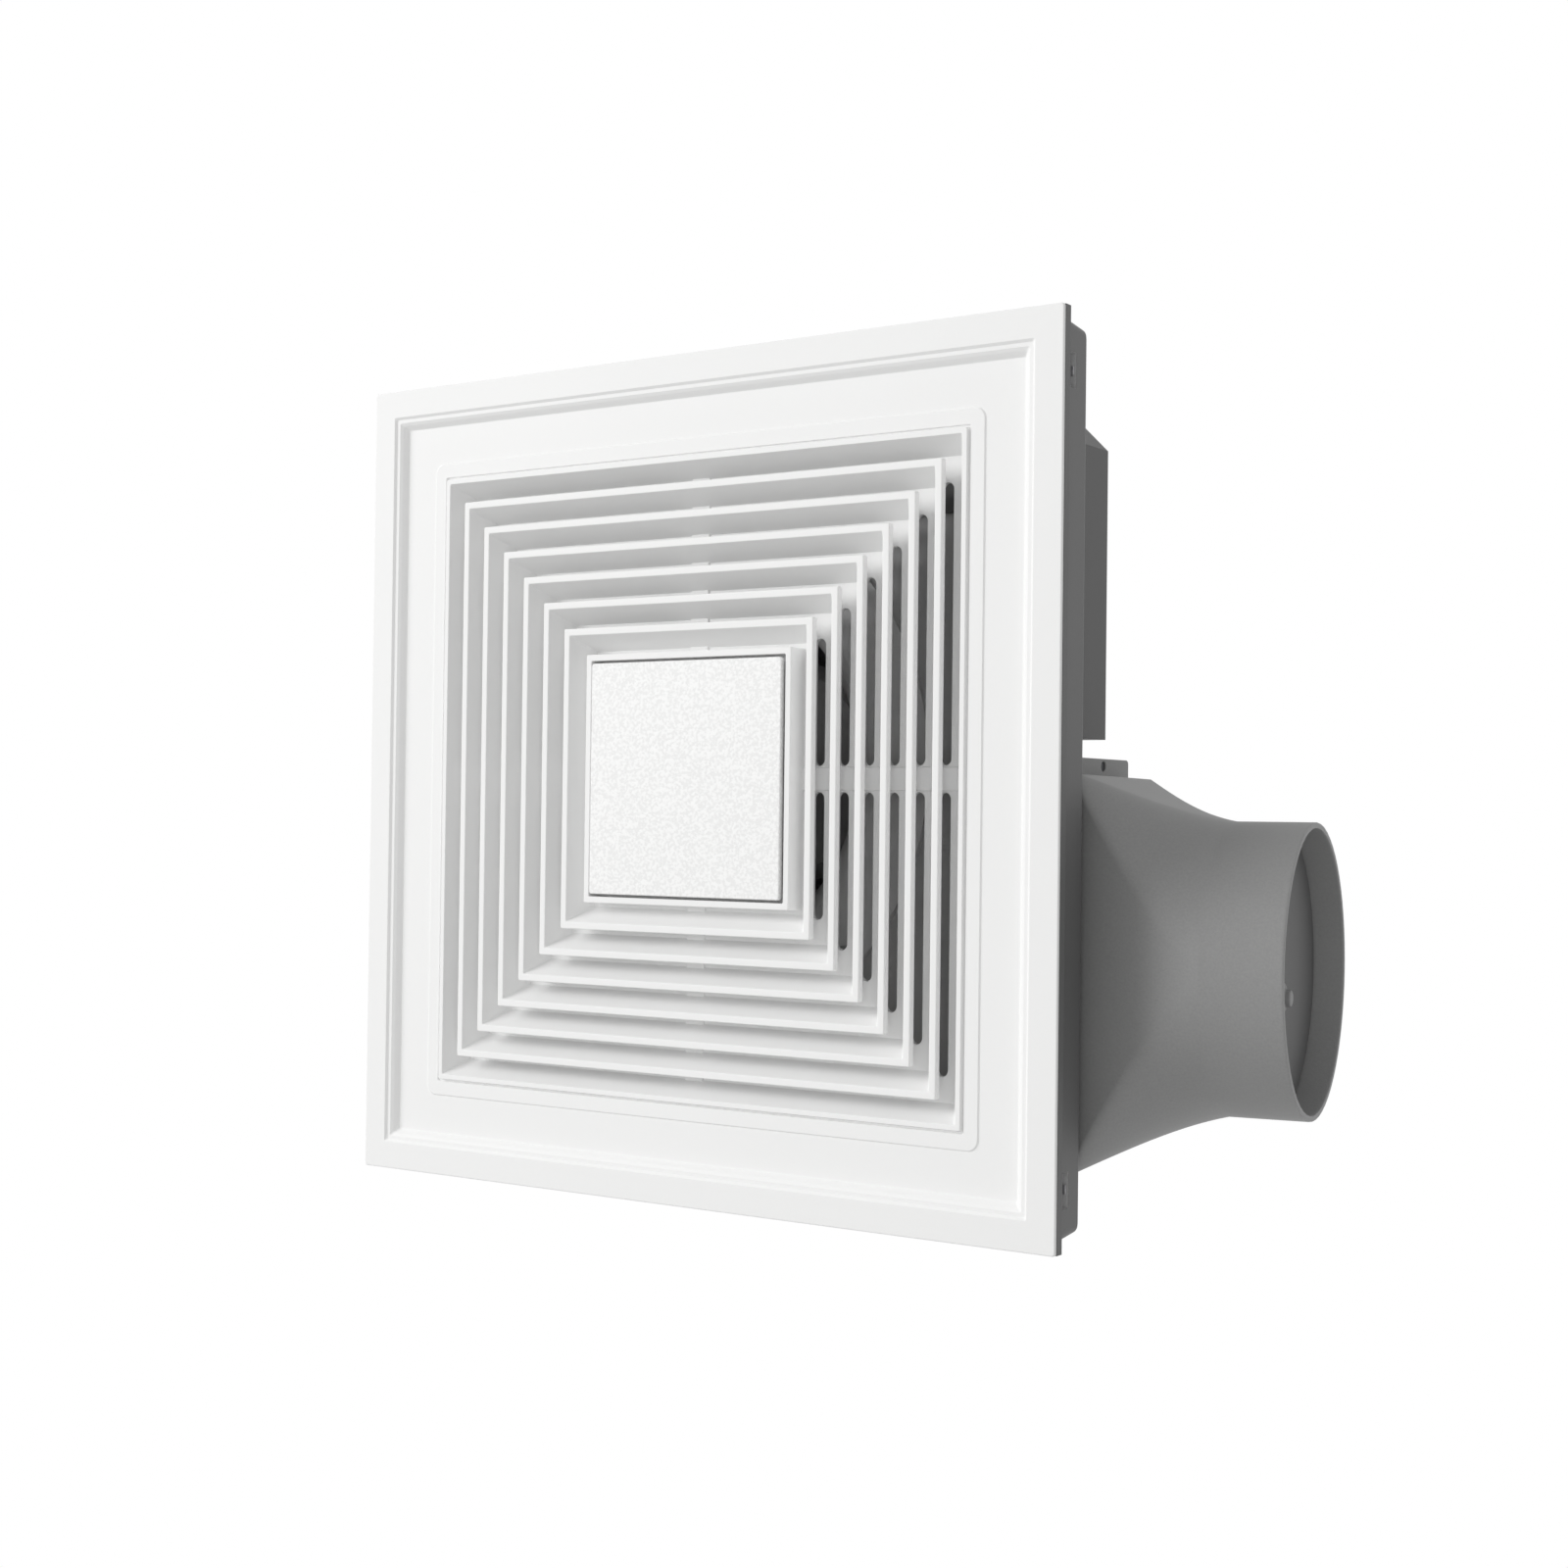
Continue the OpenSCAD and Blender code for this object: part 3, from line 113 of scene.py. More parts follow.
white_to_camera(floor_finish.node_tree, floor_plain, floor_white, floor_white_share,
                floor_finish.node_tree.nodes["Material Output"].inputs["Surface"])
floor_mesh.materials.append(floor_finish)

lamp_size, lamp_away, lamp_aim = 2.6, 4.0, Vector((0.02, 0, 0))


def soft_lamp(name, towards, energy):
    """A square soft lamp that stands in a direction from the fan and shines back at it."""
    lamp_data = bpy.data.lights.new(name, "AREA")
    lamp_data.shape = "SQUARE"
    lamp_data.size = lamp_size
    lamp_data.energy = energy
    lamp = bpy.data.objects.new(name, lamp_data)
    lamp_from = Vector(towards).normalized()
    lamp.location = lamp_aim + lamp_from * lamp_away
    lamp.rotation_euler = lamp_from.to_track_quat("Z", "Y").to_euler()
    bpy.context.scene.collection.objects.link(lamp)


soft_lamp("soft_key", (-0.70, -0.34, -0.63), 108.0)
soft_lamp("low_fill", (0.55, 0.08, -0.83), 19.0)

# Face panel: one white moulding, held to the tray by four tongues. Its rim steps down to a flat
# band, then come a fine step, a lip in a groove and six leaning louvre rings on a slotted web.
# Half widths are from the panel's middle and depths from its face, both in mm.
panel_z = -24.0
panel_half, slope_half, valley_half, lip_half = 150.0, 139.8, 133.2, 114.8
rim_t, flat_d, ring_d, edge_w, back_d, lean = 1.2, 3.4, 2.2, 2.5, 13.7, 6.6
fine_step_half, fine_step, fine_corner, lip_low, lip_w = 120.6, 0.45, 116.5, 0.4, 0.4
ring_half, ring_pitch, ring_count, centre_half, centre_d = 104.8, 10.0, 6, 45.1, 3.5
pocket_half, plate_d, plate_t, panel_wall = 42.75, 2.5, 2.0, 2.2
skirt_half, skirt_d, skirt_t = 144.5, 6.0, 2.0
web_d, web_t, web_edge, slot_w, slot_in, mid_web = 14.0, 2.0, 0.25, 4.4, 1.1, 9.0
core_half, core_t, gap_floor_half, gap_floor_d, gap_floor_t = 40.6, 6.0, 43.2, 5.0, 2.0
mid_rib_half, mid_rib_d, mid_rib_t = 4.0, 11.4, 1.8
tongue_x, tongue_y, tongue_half_t, tongue_half_w, tongue_top = 141.2, 131.0, 0.9, 5.0, -6.4


def soften(profile, steps=4):
    """Rounds the corners of a closed profile of (half width, depth, radius) points, all in mm."""
    out = []
    count = len(profile)
    for i, (h, d, radius) in enumerate(profile):
        here = Vector((h, d))
        before = Vector(profile[i - 1][:2]) - here
        after = Vector(profile[(i + 1) % count][:2]) - here
        if radius == 0:
            out.append((h, d))
            continue
        turn = before.angle(after)
        reach = min(radius / math.tan(turn / 2), 0.45 * before.length, 0.45 * after.length)
        start = here + before.normalized() * reach
        end = here + after.normalized() * reach
        for k in range(steps + 1):
            t = k / steps
            point = start * (1 - t) ** 2 + here * (2 * t * (1 - t)) + end * t ** 2
            out.append((point.x, point.y))
    return out


def quarter_turned(points, quarters):
    """Points (x, y) after a number of quarter turns about the middle."""
    for _ in range(quarters):
        points = [(-y, x) for x, y in points]
    return points


def square_ring(half, corner, height, steps=5):
    """Points in metres round a square with round corners, at one height in mm."""
    middle = half - corner
    angles = [math.radians(90 * k / steps) for k in range(steps + 1)]
    arc = [(middle + corner * math.cos(a), middle + corner * math.sin(a)) for a in angles]
    return [(x / 1000, y / 1000, height / 1000)
            for quarter in range(4) for x, y in quarter_turned(arc, quarter)]


def skin(shape, rings, closed=True, cap_first=False, cap_last=False):
    """Joins rings of equal length into a skin and adds it to a shape of (vertices, faces)."""
    vertices, faces = shape
    base = len(vertices)
    count = len(rings[0])
    for ring in rings:
        vertices.extend(ring)
    for j in range(len(rings) if closed else len(rings) - 1):
        this = base + j * count
        following = base + (j + 1) % len(rings) * count
        for i in range(count):
            h = (i + 1) % count
            faces.append((this + i, this + h, following + h, following + i))
    if cap_first:
        faces.append(tuple(base + i for i in reversed(range(count))))
    if cap_last:
        faces.append(tuple(base + (len(rings) - 1) * count + i for i in range(count)))


def plate_with_holes(shape, outline, holes, thickness, edge, to_place):
    """A flat plate cut from an outline with holes in mm, edges rounded, moved by to_place."""
    data = bpy.data.curves.new("cut_plate", "CURVE")
    data.dimensions = "2D"
    data.fill_mode = "BOTH"
    data.extrude = thickness / 2 - edge
    data.bevel_depth = edge
    data.bevel_resolution = 2
    data.offset = -edge
    for points in [outline] + holes:
        spline = data.splines.new("POLY")
        spline.points.add(len(points) - 1)
        for point, (x, y) in zip(spline.points, points):
            point.co = (x, y, 0, 1)
        spline.use_cyclic_u = True
    cut = bpy.data.objects.new("cut_plate", data)
    mesh = cut.to_mesh()
    vertices, faces = shape
    base = len(vertices)
    vertices.extend(tuple(to_place @ v.co / 1000) for v in mesh.vertices)
    faces.extend(tuple(base + i for i in face.vertices) for face in mesh.polygons)
    cut.to_mesh_clear()
    bpy.data.objects.remove(cut)
    bpy.data.curves.remove(data)


def block(shape, low, high, edge):
    """A block in mm between two corners, with its edges rounded."""
    form = bmesh.new()
    bmesh.ops.create_cube(form, size=1.0)
    for v in form.verts:
        v.co = [low[i] + (v.co[i] + 0.5) * (high[i] - low[i]) for i in range(3)]
    bmesh.ops.bevel(form, geom=form.edges[:], offset=edge, segments=3, profile=0.5, affect="EDGES")
    vertices, faces = shape
    base = len(vertices)
    form.verts.index_update()
    vertices.extend(tuple(v.co / 1000) for v in form.verts)
    faces.extend(tuple(base + v.index for v in face.verts) for face in form.faces)
    form.free()


def put(name, shape, body, finish, crease=35.0):
    """A new mesh piece in the row frame, riding on a body and given a finish."""
    form = bmesh.new()
    corners = [form.verts.new(v) for v in shape[0]]
    for face in shape[1]:
        if len(set(face)) > 2:
            form.faces.new([corners[i] for i in face])
    bmesh.ops.remove_doubles(form, verts=form.verts[:], dist=1e-6)
    bmesh.ops.recalc_face_normals(form, faces=form.faces[:])
    mesh = bpy.data.meshes.new(name)
    form.to_mesh(mesh)
    form.free()
    mesh.validate()
    mesh.shade_smooth()
    mesh.set_sharp_from_angle(angle=math.radians(crease))
    mesh.materials.append(finish)
    piece = bpy.data.objects.new(name, mesh)
    bpy.context.scene.collection.objects.link(piece)
    even = piece.modifiers.new("even_normals", "WEIGHTED_NORMAL")
    even.keep_sharp = True
    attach(piece, body)
    return piece


def moulded_grain_group():
    """Moulded plastic: a slow drift of tone, a fine spark-eroded grain and a grain in the gloss."""
    group = bpy.data.node_groups.new("moulded_grain", "ShaderNodeTree")
    face = group.interface
    face.new_socket("Colour", in_out="INPUT", socket_type="NodeSocketColor")
    for name in ("Grain Scale", "Drift", "Speckle", "Roughness", "Roughness Spread"):
        face.new_socket(name, in_out="INPUT", socket_type="NodeSocketFloat")
    face.new_socket("Colour", in_out="OUTPUT", socket_type="NodeSocketColor")
    face.new_socket("Roughness", in_out="OUTPUT", socket_type="NodeSocketFloat")
    face.new_socket("Height", in_out="OUTPUT", socket_type="NodeSocketFloat")
    given = group.nodes.new("NodeGroupInput").outputs
    outlet = group.nodes.new("NodeGroupOutput")
    link = group.links.new
    place = group.nodes.new("ShaderNodeTexCoord")
    grain = value_node(group, "ShaderNodeTexNoise", Detail=4.0, Roughness=0.62)
    drift = value_node(group, "ShaderNodeTexNoise", Scale=16.0, Detail=3.0, Roughness=0.55)
    link(place.outputs["Object"], grain.inputs["Vector"])
    link(place.outputs["Object"], drift.inputs["Vector"])
    link(given["Grain Scale"], grain.inputs["Scale"])
    # tone = 1 + Drift * (drift - 0.5) + Speckle * (grain - 0.5)
    slow = maths(group, "SUBTRACT", drift.outputs["Fac"], 0.5)
    quick = maths(group, "SUBTRACT", grain.outputs["Fac"], 0.5)
    slow_tone = maths(group, "MULTIPLY_ADD", slow, given["Drift"], 1.0)
    tone = maths(group, "MULTIPLY_ADD", quick, given["Speckle"], slow_tone)
    shade = value_node(group, "ShaderNodeVectorMath", operation="SCALE")
    link(given["Colour"], shade.inputs[0])
    link(tone, shade.inputs["Scale"])
    link(shade.outputs[0], outlet.inputs["Colour"])
    gloss = maths(group, "MULTIPLY_ADD", quick, given["Roughness Spread"], given["Roughness"])
    link(gloss, outlet.inputs["Roughness"])
    link(grain.outputs["Fac"], outlet.inputs["Height"])
    return group


moulded_grain = moulded_grain_group()


def grained_finish(name, colour, grain_scale, grain_depth, drift, speckle, roughness, spread, soft_edge):
    """A material with its grain; grain_scale is per metre, grain_depth and soft_edge in metres."""
    finish = bpy.data.materials.new(name)
    finish.use_nodes = True
    tree = finish.node_tree
    shader = tree.nodes["Principled BSDF"]
    grain = tree.nodes.new("ShaderNodeGroup")
    grain.node_tree = moulded_grain
    grain.inputs["Colour"].default_value = (*colour, 1)
    grain.inputs["Grain Scale"].default_value = grain_scale
    grain.inputs["Drift"].default_value = drift
    grain.inputs["Speckle"].default_value = speckle
    grain.inputs["Roughness"].default_value = roughness
    grain.inputs["Roughness Spread"].default_value = spread
    bump = value_node(tree, "ShaderNodeBump", Distance=grain_depth, Strength=1.0)
    if soft_edge:
        edges = value_node(tree, "ShaderNodeBevel", samples=4, Radius=soft_edge)
        tree.links.new(edges.outputs["Normal"], bump.inputs["Normal"])
    tree.links.new(grain.outputs["Height"], bump.inputs["Height"])
    tree.links.new(grain.outputs["Colour"], shader.inputs["Base Color"])
    tree.links.new(grain.outputs["Roughness"], shader.inputs["Roughness"])
    tree.links.new(bump.outputs["Normal"], shader.inputs["Normal"])
    return finish


panel_white = grained_finish("panel_white", (0.9, 0.9, 0.898), 2600.0, 0.00002, drift=0.02,
                             speckle=0.03, roughness=0.6, spread=0.1, soft_edge=0)


def inner_at(half, depth):
    """Half width of a louvre's inner face at a depth."""
    return half - edge_w - lean * (depth - ring_d) / (web_d - ring_d)


def outer_at(half, depth):
    """Half width of a louvre's outer face at a depth below its bend."""
    bend = ring_d + edge_w
    return half - lean * (depth - bend) / (web_d - bend)


def frame_corner(half):
    """Corner radius at a half width: small in general, and round along the fine step."""
    if fine_step_half - 0.7 < half < fine_step_half + 0.1:
        return half - fine_corner
    return 1.0 if half > skirt_half + 0.5 else 0.7


def square_frame(shape, profile, corner_at):
    """Sweeps a softened profile round the square; corner_at gives the corner radius at a half width."""
    skin(shape, [square_ring(h, corner_at(h), panel_z + d) for h, d in profile])


face_moulding = ([], [])
rim_and_step = [
    (panel_half, rim_t, 0.2), (panel_half, 0.0, 0.6), (slope_half, 0.0, 0.3),
    (slope_half - 0.9, 0.8, 0.2), (slope_half - 2.2, 0.85, 0.2), (slope_half - 3.3, 1.6, 0.8),
    (slope_half - 4.4, 2.8, 0.6), (slope_half - 4.9, flat_d, 0.6)]
band_and_lip = [
    (valley_half, flat_d, 0.1), (fine_step_half, flat_d, 0.1),
    (fine_step_half - 0.5, flat_d - fine_step, 0.15), (lip_half + 0.3, flat_d - fine_step, 0.1),
    (lip_half, flat_d + lip_low, 0.15), (lip_half - lip_w, flat_d + lip_low, 0.15),
    (lip_half - 2 * lip_w, ring_d, 0.15), (lip_half - edge_w, ring_d, 0.3),
    (inner_at(lip_half, back_d), back_d, 0.2)]
back_and_skirt = [
    (outer_at(lip_half, back_d), back_d, 0.2),
    (outer_at(lip_half, flat_d + panel_wall), flat_d + panel_wall, 0.5),
    (valley_half + 1.6, flat_d + panel_wall, 0.5), (slope_half - 1, panel_wall + 0.8, 0.5),
    (slope_half + 0.4, panel_wall, 0.3), (skirt_half - skirt_t, panel_wall, 0.2),
    (skirt_half - skirt_t, skirt_d, 0.3), (skirt_half, skirt_d, 0.3), (skirt_half, rim_t, 0.1)]
square_frame(face_moulding, soften(rim_and_step + band_and_lip + back_and_skirt), frame_corner)
ring_halves = [ring_half - i * ring_pitch for i in range(ring_count)]
for half in ring_halves:
    louvre = soften([
        (half, ring_d, 0.45), (half - edge_w, ring_d, 0.45), (inner_at(half, back_d), back_d, 0.2),
        (outer_at(half, back_d), back_d, 0.2), (half, ring_d + edge_w, 1.0)])
    square_frame(face_moulding, louvre, lambda h: 0.6)

slots = []
web_mid = web_d - web_t / 2
for half in ring_halves:
    middle = (inner_at(half + ring_pitch, web_mid) + outer_at(half, web_mid)) / 2 - slot_in
    near, far, r = mid_web / 2, half - lean, slot_w / 2
    bar = [(near + r + r * math.cos(math.radians(a)), middle + r * math.sin(math.radians(a)))
           for a in range(90, 271, 15)]
    bar += [(far - r + r * math.cos(math.radians(a)), middle + r * math.sin(math.radians(a)))
            for a in range(270, 451, 15)]
    for side in (1, -1):
        for quarter in range(4):
            slots.append(quarter_turned([(side * x, y) for x, y in bar], quarter))
web_half = lip_half - lean + 0.4
web_outline = [(web_half, web_half), (-web_half, web_half), (-web_half, -web_half), (web_half, -web_half)]
pocket_hole = [(x * pocket_half / web_half, y * pocket_half / web_half) for x, y in web_outline]
plate_with_holes(face_moulding, web_outline, slots + [pocket_hole], web_t, web_edge,
                 Matrix.Translation((0, 0, panel_z + web_mid)))
square_frame(face_moulding, soften([
    (centre_half, centre_d, 0.4), (pocket_half, centre_d, 0.35), (pocket_half, back_d, 0.2),
    (centre_half, back_d, 0.2)]), lambda h: 0.5)
core_z = panel_z + plate_d + plate_t
gap_floor_z = core_z + gap_floor_d
block(face_moulding, (-core_half, -core_half, core_z), (core_half, core_half, core_z + core_t), 0.3)
block(face_moulding, (-gap_floor_half, -gap_floor_half, gap_floor_z),
      (gap_floor_half, gap_floor_half, gap_floor_z + gap_floor_t), 0.3)
rib_ends = [(-mid_rib_half, centre_half - 1), (mid_rib_half, lip_half - lean)]
rib_z = panel_z + mid_rib_d
for quarter in range(4):
    (x1, y1), (x2, y2) = quarter_turned(rib_ends, quarter)
    block(face_moulding, (min(x1, x2), min(y1, y2), rib_z),
          (max(x1, x2), max(y1, y2), rib_z + mid_rib_t), 0.5)
for x in (-tongue_x, tongue_x):
    for y in (-tongue_y, tongue_y):
        block(face_moulding, (x - tongue_half_t, y - tongue_half_w, panel_z + panel_wall - 0.1),
              (x + tongue_half_t, y + tongue_half_w, tongue_top), 0.3)
moulding = put("face_moulding", face_moulding, "grille", panel_white)
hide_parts("face_panel")

# Centre plate: a separate square cap, pressed into the middle of the panel by four pegs.
# Its face has a pearl grain, a net of low soft pits that sparkles next to the smoother panel.
plate_half, plate_corner, cap_peg_at = 41.75, 1.0, 33.8
cap_peg_profile = ((1.5, 4.2), (1.5, 7.0), (1.2, 7.4))


def pearl_finish(name, colour, pit_scale, pit_depth):
    """White plastic with a net of low pits and a finer grain over it."""
    finish = grained_finish(name, colour, 2600.0, 0.00002, drift=0.015, speckle=0.03,
                            roughness=0.45, spread=0.15, soft_edge=0)
    tree = finish.node_tree
    shader = tree.nodes["Principled BSDF"]
    place = tree.nodes.new("ShaderNodeTexCoord")
    pits = value_node(tree, "ShaderNodeTexNoise", Scale=pit_scale, Detail=1.5, Roughness=0.5)
    tree.links.new(place.outputs["Object"], pits.inputs["Vector"])
    level = value_node(tree, "ShaderNodeMapRange", interpolation_type="SMOOTHSTEP")
    level.inputs["From Min"].default_value = 0.38
    level.inputs["From Max"].default_value = 0.62
    tree.links.new(pits.outputs["Fac"], level.inputs["Value"])
    bump = value_node(tree, "ShaderNodeBump", Distance=pit_depth, Strength=1.0)
    tree.links.new(level.outputs["Result"], bump.inputs["Height"])
    fine = shader.inputs["Normal"].links[0].from_node
    tree.links.new(fine.outputs["Normal"], bump.inputs["Normal"])
    tree.links.new(bump.outputs["Normal"], shader.inputs["Normal"])
    shade = value_node(tree, "ShaderNodeMix", data_type="RGBA", blend_type="MULTIPLY")
    shade.inputs[0].default_value = 1.0
    tone = value_node(tree, "ShaderNodeMapRange")
    tone.inputs["To Min"].default_value = 0.9
    tone.inputs["To Max"].default_value = 1.0
    tree.links.new(level.outputs["Result"], tone.inputs["Value"])
    colour_from = shader.inputs["Base Color"].links[0].from_socket
    tree.links.new(colour_from, shade.inputs[6])
    tree.links.new(tone.outputs["Result"], shade.inputs[7])
    tree.links.new(shade.outputs[2], shader.inputs["Base Color"])
    return finish


def circle(r, count):
    """Points (x, y) spaced evenly on a circle about the middle."""
    return [(r * math.cos(2 * math.pi * i / count), r * math.sin(2 * math.pi * i / count))
            for i in range(count)]


plate_pearl = pearl_finish("plate_pearl", (0.95, 0.95, 0.947), 900.0, 0.00003)
cap = ([], [])
# The two points near the middle only say which way the front and the back run
cap_profile = soften([
    (plate_half, plate_d + plate_t, 0.15), (plate_half, plate_d, 0.4), (0.5, plate_d, 0),
    (0.5, plate_d + plate_t, 0)])
cap_rings = [square_ring(h, plate_corner, panel_z + d) for h, d in cap_profile if h > 1]
skin(cap, cap_rings, closed=False, cap_first=True, cap_last=True)
for peg_x in (-cap_peg_at, cap_peg_at):
    for peg_y in (-cap_peg_at, cap_peg_at):
        peg_rings = [[((peg_x + x) / 1000, (peg_y + y) / 1000, (panel_z + d) / 1000)
                      for x, y in circle(r, 24)] for r, d in cap_peg_profile]
        skin(cap, peg_rings, closed=False, cap_first=True, cap_last=True)
plate = put("centre_cap", cap, "grille", plate_pearl)
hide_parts("centre_plate")

# Tray: the grey moulding that hangs from its four holes and carries all the rest, with the
# wiring cover screwed to its back plate. Its fine even grain is the same all over, and its
# inner faces are painted four times paler: painted light on the tray's shaded inside.
def dress(finish, *nodes):
    """Puts a finish on every material slot of some CAD nodes."""
    for node in nodes:
        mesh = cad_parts[node].data
        if not mesh.materials:
            mesh.materials.append(finish)
        for index in range(len(mesh.materials)):
            mesh.materials[index] = finish


def grey_moulding(name, tone, soft_edge=0.0004, speckle=0.09, roughness=0.55):
    """The fan's grained grey plastic, in one of its tones."""
    return grained_finish(name, (tone, tone, tone), 1800.0, 0.00004, drift=0.1, speckle=speckle,
                          roughness=roughness, spread=0.15, soft_edge=soft_edge)


def paint_light_inside(finish, middle, gain):
    """Paints light on the faces that look towards a middle point, in metres: multiplies their colour by a
    gain.
    """
    tree = finish.node_tree
    shader = tree.nodes["Principled BSDF"]
    place = tree.nodes.new("ShaderNodeTexCoord")
    away = value_node(tree, "ShaderNodeVectorMath", operation="SUBTRACT")
    away.inputs[1].default_value = middle
    tree.links.new(place.outputs["Object"], away.inputs[0])
    facing = value_node(tree, "ShaderNodeVectorMath", operation="DOT_PRODUCT")
    tree.links.new(place.outputs["Normal"], facing.inputs[0])
    tree.links.new(away.outputs["Vector"], facing.inputs[1])
    # faces that look inward: the mask of the painted light
    inside = maths(tree, "LESS_THAN", facing.outputs["Value"], 0.0)
    shade = value_node(tree, "ShaderNodeVectorMath", operation="SCALE")
    tree.links.new(shader.inputs["Base Color"].links[0].from_socket, shade.inputs[0])
    tree.links.new(maths(tree, "MULTIPLY_ADD", inside, gain - 1, 1.0), shade.inputs["Scale"])
    tree.links.new(shade.outputs["Vector"], shader.inputs["Base Color"])


tray_middle, painted_light_gain = (0.0, 0.0, -0.012), 4.0
tray_grey = grey_moulding("tray_grey", 0.13)
# the inner faces painted four times paler, painted light on the shaded inside
paint_light_inside(tray_grey, tray_middle, painted_light_gain)
dress(tray_grey, "tray")
dress(grey_moulding("cover_grey", 0.135), "wiring_cover")

# Spring clips: bright spring strip, bent to a narrow bridge. A barb hooks each one into a
# window in the tray's side, where it grips one of the panel's tongues.
def metal_finish(name, colour, roughness, grain_scale, grain_depth, soft_edge=0.0003):
    """Plated, blued or ground steel with a fine grain in its gloss."""
    finish = grained_finish(name, colour, grain_scale, grain_depth, drift=0.15, speckle=0.1,
                            roughness=roughness, spread=0.2, soft_edge=soft_edge)
    finish.node_tree.nodes["Principled BSDF"].inputs["Metallic"].default_value = 1.0
    return finish


dress(metal_finish("spring_strip", (0.42, 0.42, 0.43), 0.5, 1500.0, 0.00001), "panel_clips")

# Blower case: a tall grey box moulding that stands on the tray on a screwed foot and
# ends in a flanged neck towards the duct.
dress(grey_moulding("case_grey", 0.098, soft_edge=0.0007), "blower_case")
zinc_plate = metal_finish("zinc_plate", (0.5, 0.51, 0.5), 0.42, 1400.0, 0.00001)
dress(zinc_plate, "case_screws", "nozzle_screws")

# Scroll, nozzle and wheel: smooth mouldings that lie behind the panel's slots. The nozzle and
# the wheel's disc are pale, and the scroll and the bladed ring are nearly black.
def smooth_moulding(name, colour, roughness=0.45):
    """Smooth plastic with hardly any grain."""
    return grained_finish(name, colour, 1500.0, 0.00003, drift=0.05, speckle=0.06,
                          roughness=roughness, spread=0.12, soft_edge=0)


dress(smooth_moulding("scroll_black", (0.03, 0.03, 0.032), roughness=0.5), "scroll")
dress(smooth_moulding("nozzle_grey", (0.66, 0.66, 0.66)), "inlet_nozzle")
dress(smooth_moulding("wheel_grey", (0.07, 0.072, 0.075)), "impeller")
dress(smooth_moulding("disc_grey", (0.5, 0.5, 0.5)), "wheel_disc")

# Motor: zinc-plated shells on rubber bushes, a steel shaft in sintered bearings, stacked cores
# and an enamelled winding. Other small fittings share its zinc and its rubber.
dress(zinc_plate, "wheel_washer", "wheel_nut", "motor_shell_lower", "motor_shell_upper",
      "motor_screws", "rotor_shaft", "capacitor_clip", "wiring_cover_screws", "damper_pin")
core_steel = metal_finish("core_steel", (0.25, 0.25, 0.26), 0.5, 700.0, 0.00002)
dress(core_steel, "rotor_core", "stator_core")
copper_enamel = metal_finish("copper_enamel", (0.5, 0.2, 0.08), 0.35, 900.0, 0.00003)
dress(copper_enamel, "stator_winding", "shaft_bearings")
rubber_black = grained_finish("rubber_black", (0.025, 0.025, 0.026), 900.0, 0.00003, drift=0.05,
                              speckle=0.06, roughness=0.75, spread=0.1, soft_edge=0.0004)
dress(rubber_black, "motor_bushes", "cable_gland", "adapter_gasket", "damper_seal")

# Wiring: a capacitor that hangs under the case's top, and a terminal block near the cable
# gland, both given the same ivory plastic.
pale_plastic = grained_finish("pale_plastic", (0.7, 0.68, 0.6), 1200.0, 0.00003, drift=0.05,
                              speckle=0.06, roughness=0.45, spread=0.12, soft_edge=0.0004)
dress(pale_plastic, "capacitor", "terminal_block")

# Duct adapter: one grey moulding that runs from a screwed square flange over a smooth loft
# to the tilted round spigot. Lugs inside carry the flap's pin, and a lip is the flap's seat.
# Four blued screws hold its flange to the case.
adapter_grey = grained_finish("adapter_grey", (0.282, 0.282, 0.282), 1250.0, 0.00005, drift=0.16,
                              speckle=0.3, roughness=0.55, spread=0.15, soft_edge=0)
flange_x, flange_t, duct_y, duct_z, duct_wall = 115.0, 3.0, 61.8, 50.0, 2.0
outlet_half_y, outlet_half_z, flange_lap_y, flange_lap_z = 64.5, 46.0, 6.5, 2.0
screw_lap, screw_share, screw_hole_r = 3.7, 0.6, 1.8
flange_sunk, flange_edge = 0.6, 0.35
mouth, tilt = Vector((204.7, 61.8, 53.3)), math.radians(9.5)
spigot_r, spigot_bore, spigot_len = 49.0, 47.0, 27.0
loft_x0, loft_y0, loft_half_y, loft_corner, loft_steps = 134.0, 63.1, 65.2, 5.0, 36
corner_steps, corner_gap = 14, 5.0
spigot_axis = Vector((math.cos(tilt), 0, math.sin(tilt)))
spigot_up = Vector((-math.sin(tilt), 0, math.cos(tilt)))
across = Vector((0, 1, 0))


def duct_section(t, wall, centre=None, radius=None):
    """One section of the loft at step t from 0 to 1, inside a wall; with a radius it is a circle."""
    grow = (t + math.sin(math.pi / 2 * t)) / 2
    end = mouth - spigot_len * spigot_axis
    middle = Vector((loft_x0, loft_y0, duct_z)) * (1 - t) + end * t if centre is None else centre
    r = loft_corner * (1 - grow) + spigot_r * grow - wall if radius is None else radius
    ay = (loft_half_y - loft_corner) * (1 - grow)
    az = (outlet_half_z / math.cos(tilt) - loft_corner) * (1 - grow)
    points = []
    for quarter in range(4):
        for k in range(corner_steps + 1):
            turn = (k / corner_steps - 0.5) * (90 - corner_gap * grow)
            a = math.radians(90 * quarter + 45 + turn)
            y = (ay if quarter in (0, 3) else -ay) + r * math.cos(a)
            z = (az if quarter < 2 else -az) + r * math.sin(a)
            points.append(middle + y * across + z * spigot_up)
    return points


def in_metres(points):
    """Points in mm as tuples in metres."""
    return [tuple(p / 1000) for p in points]


def in_flange(points):
    """A section of the duct, pushed flat into the flange."""
    return [Vector((flange_x - flange_sunk, p.y, p.z)) for p in points]


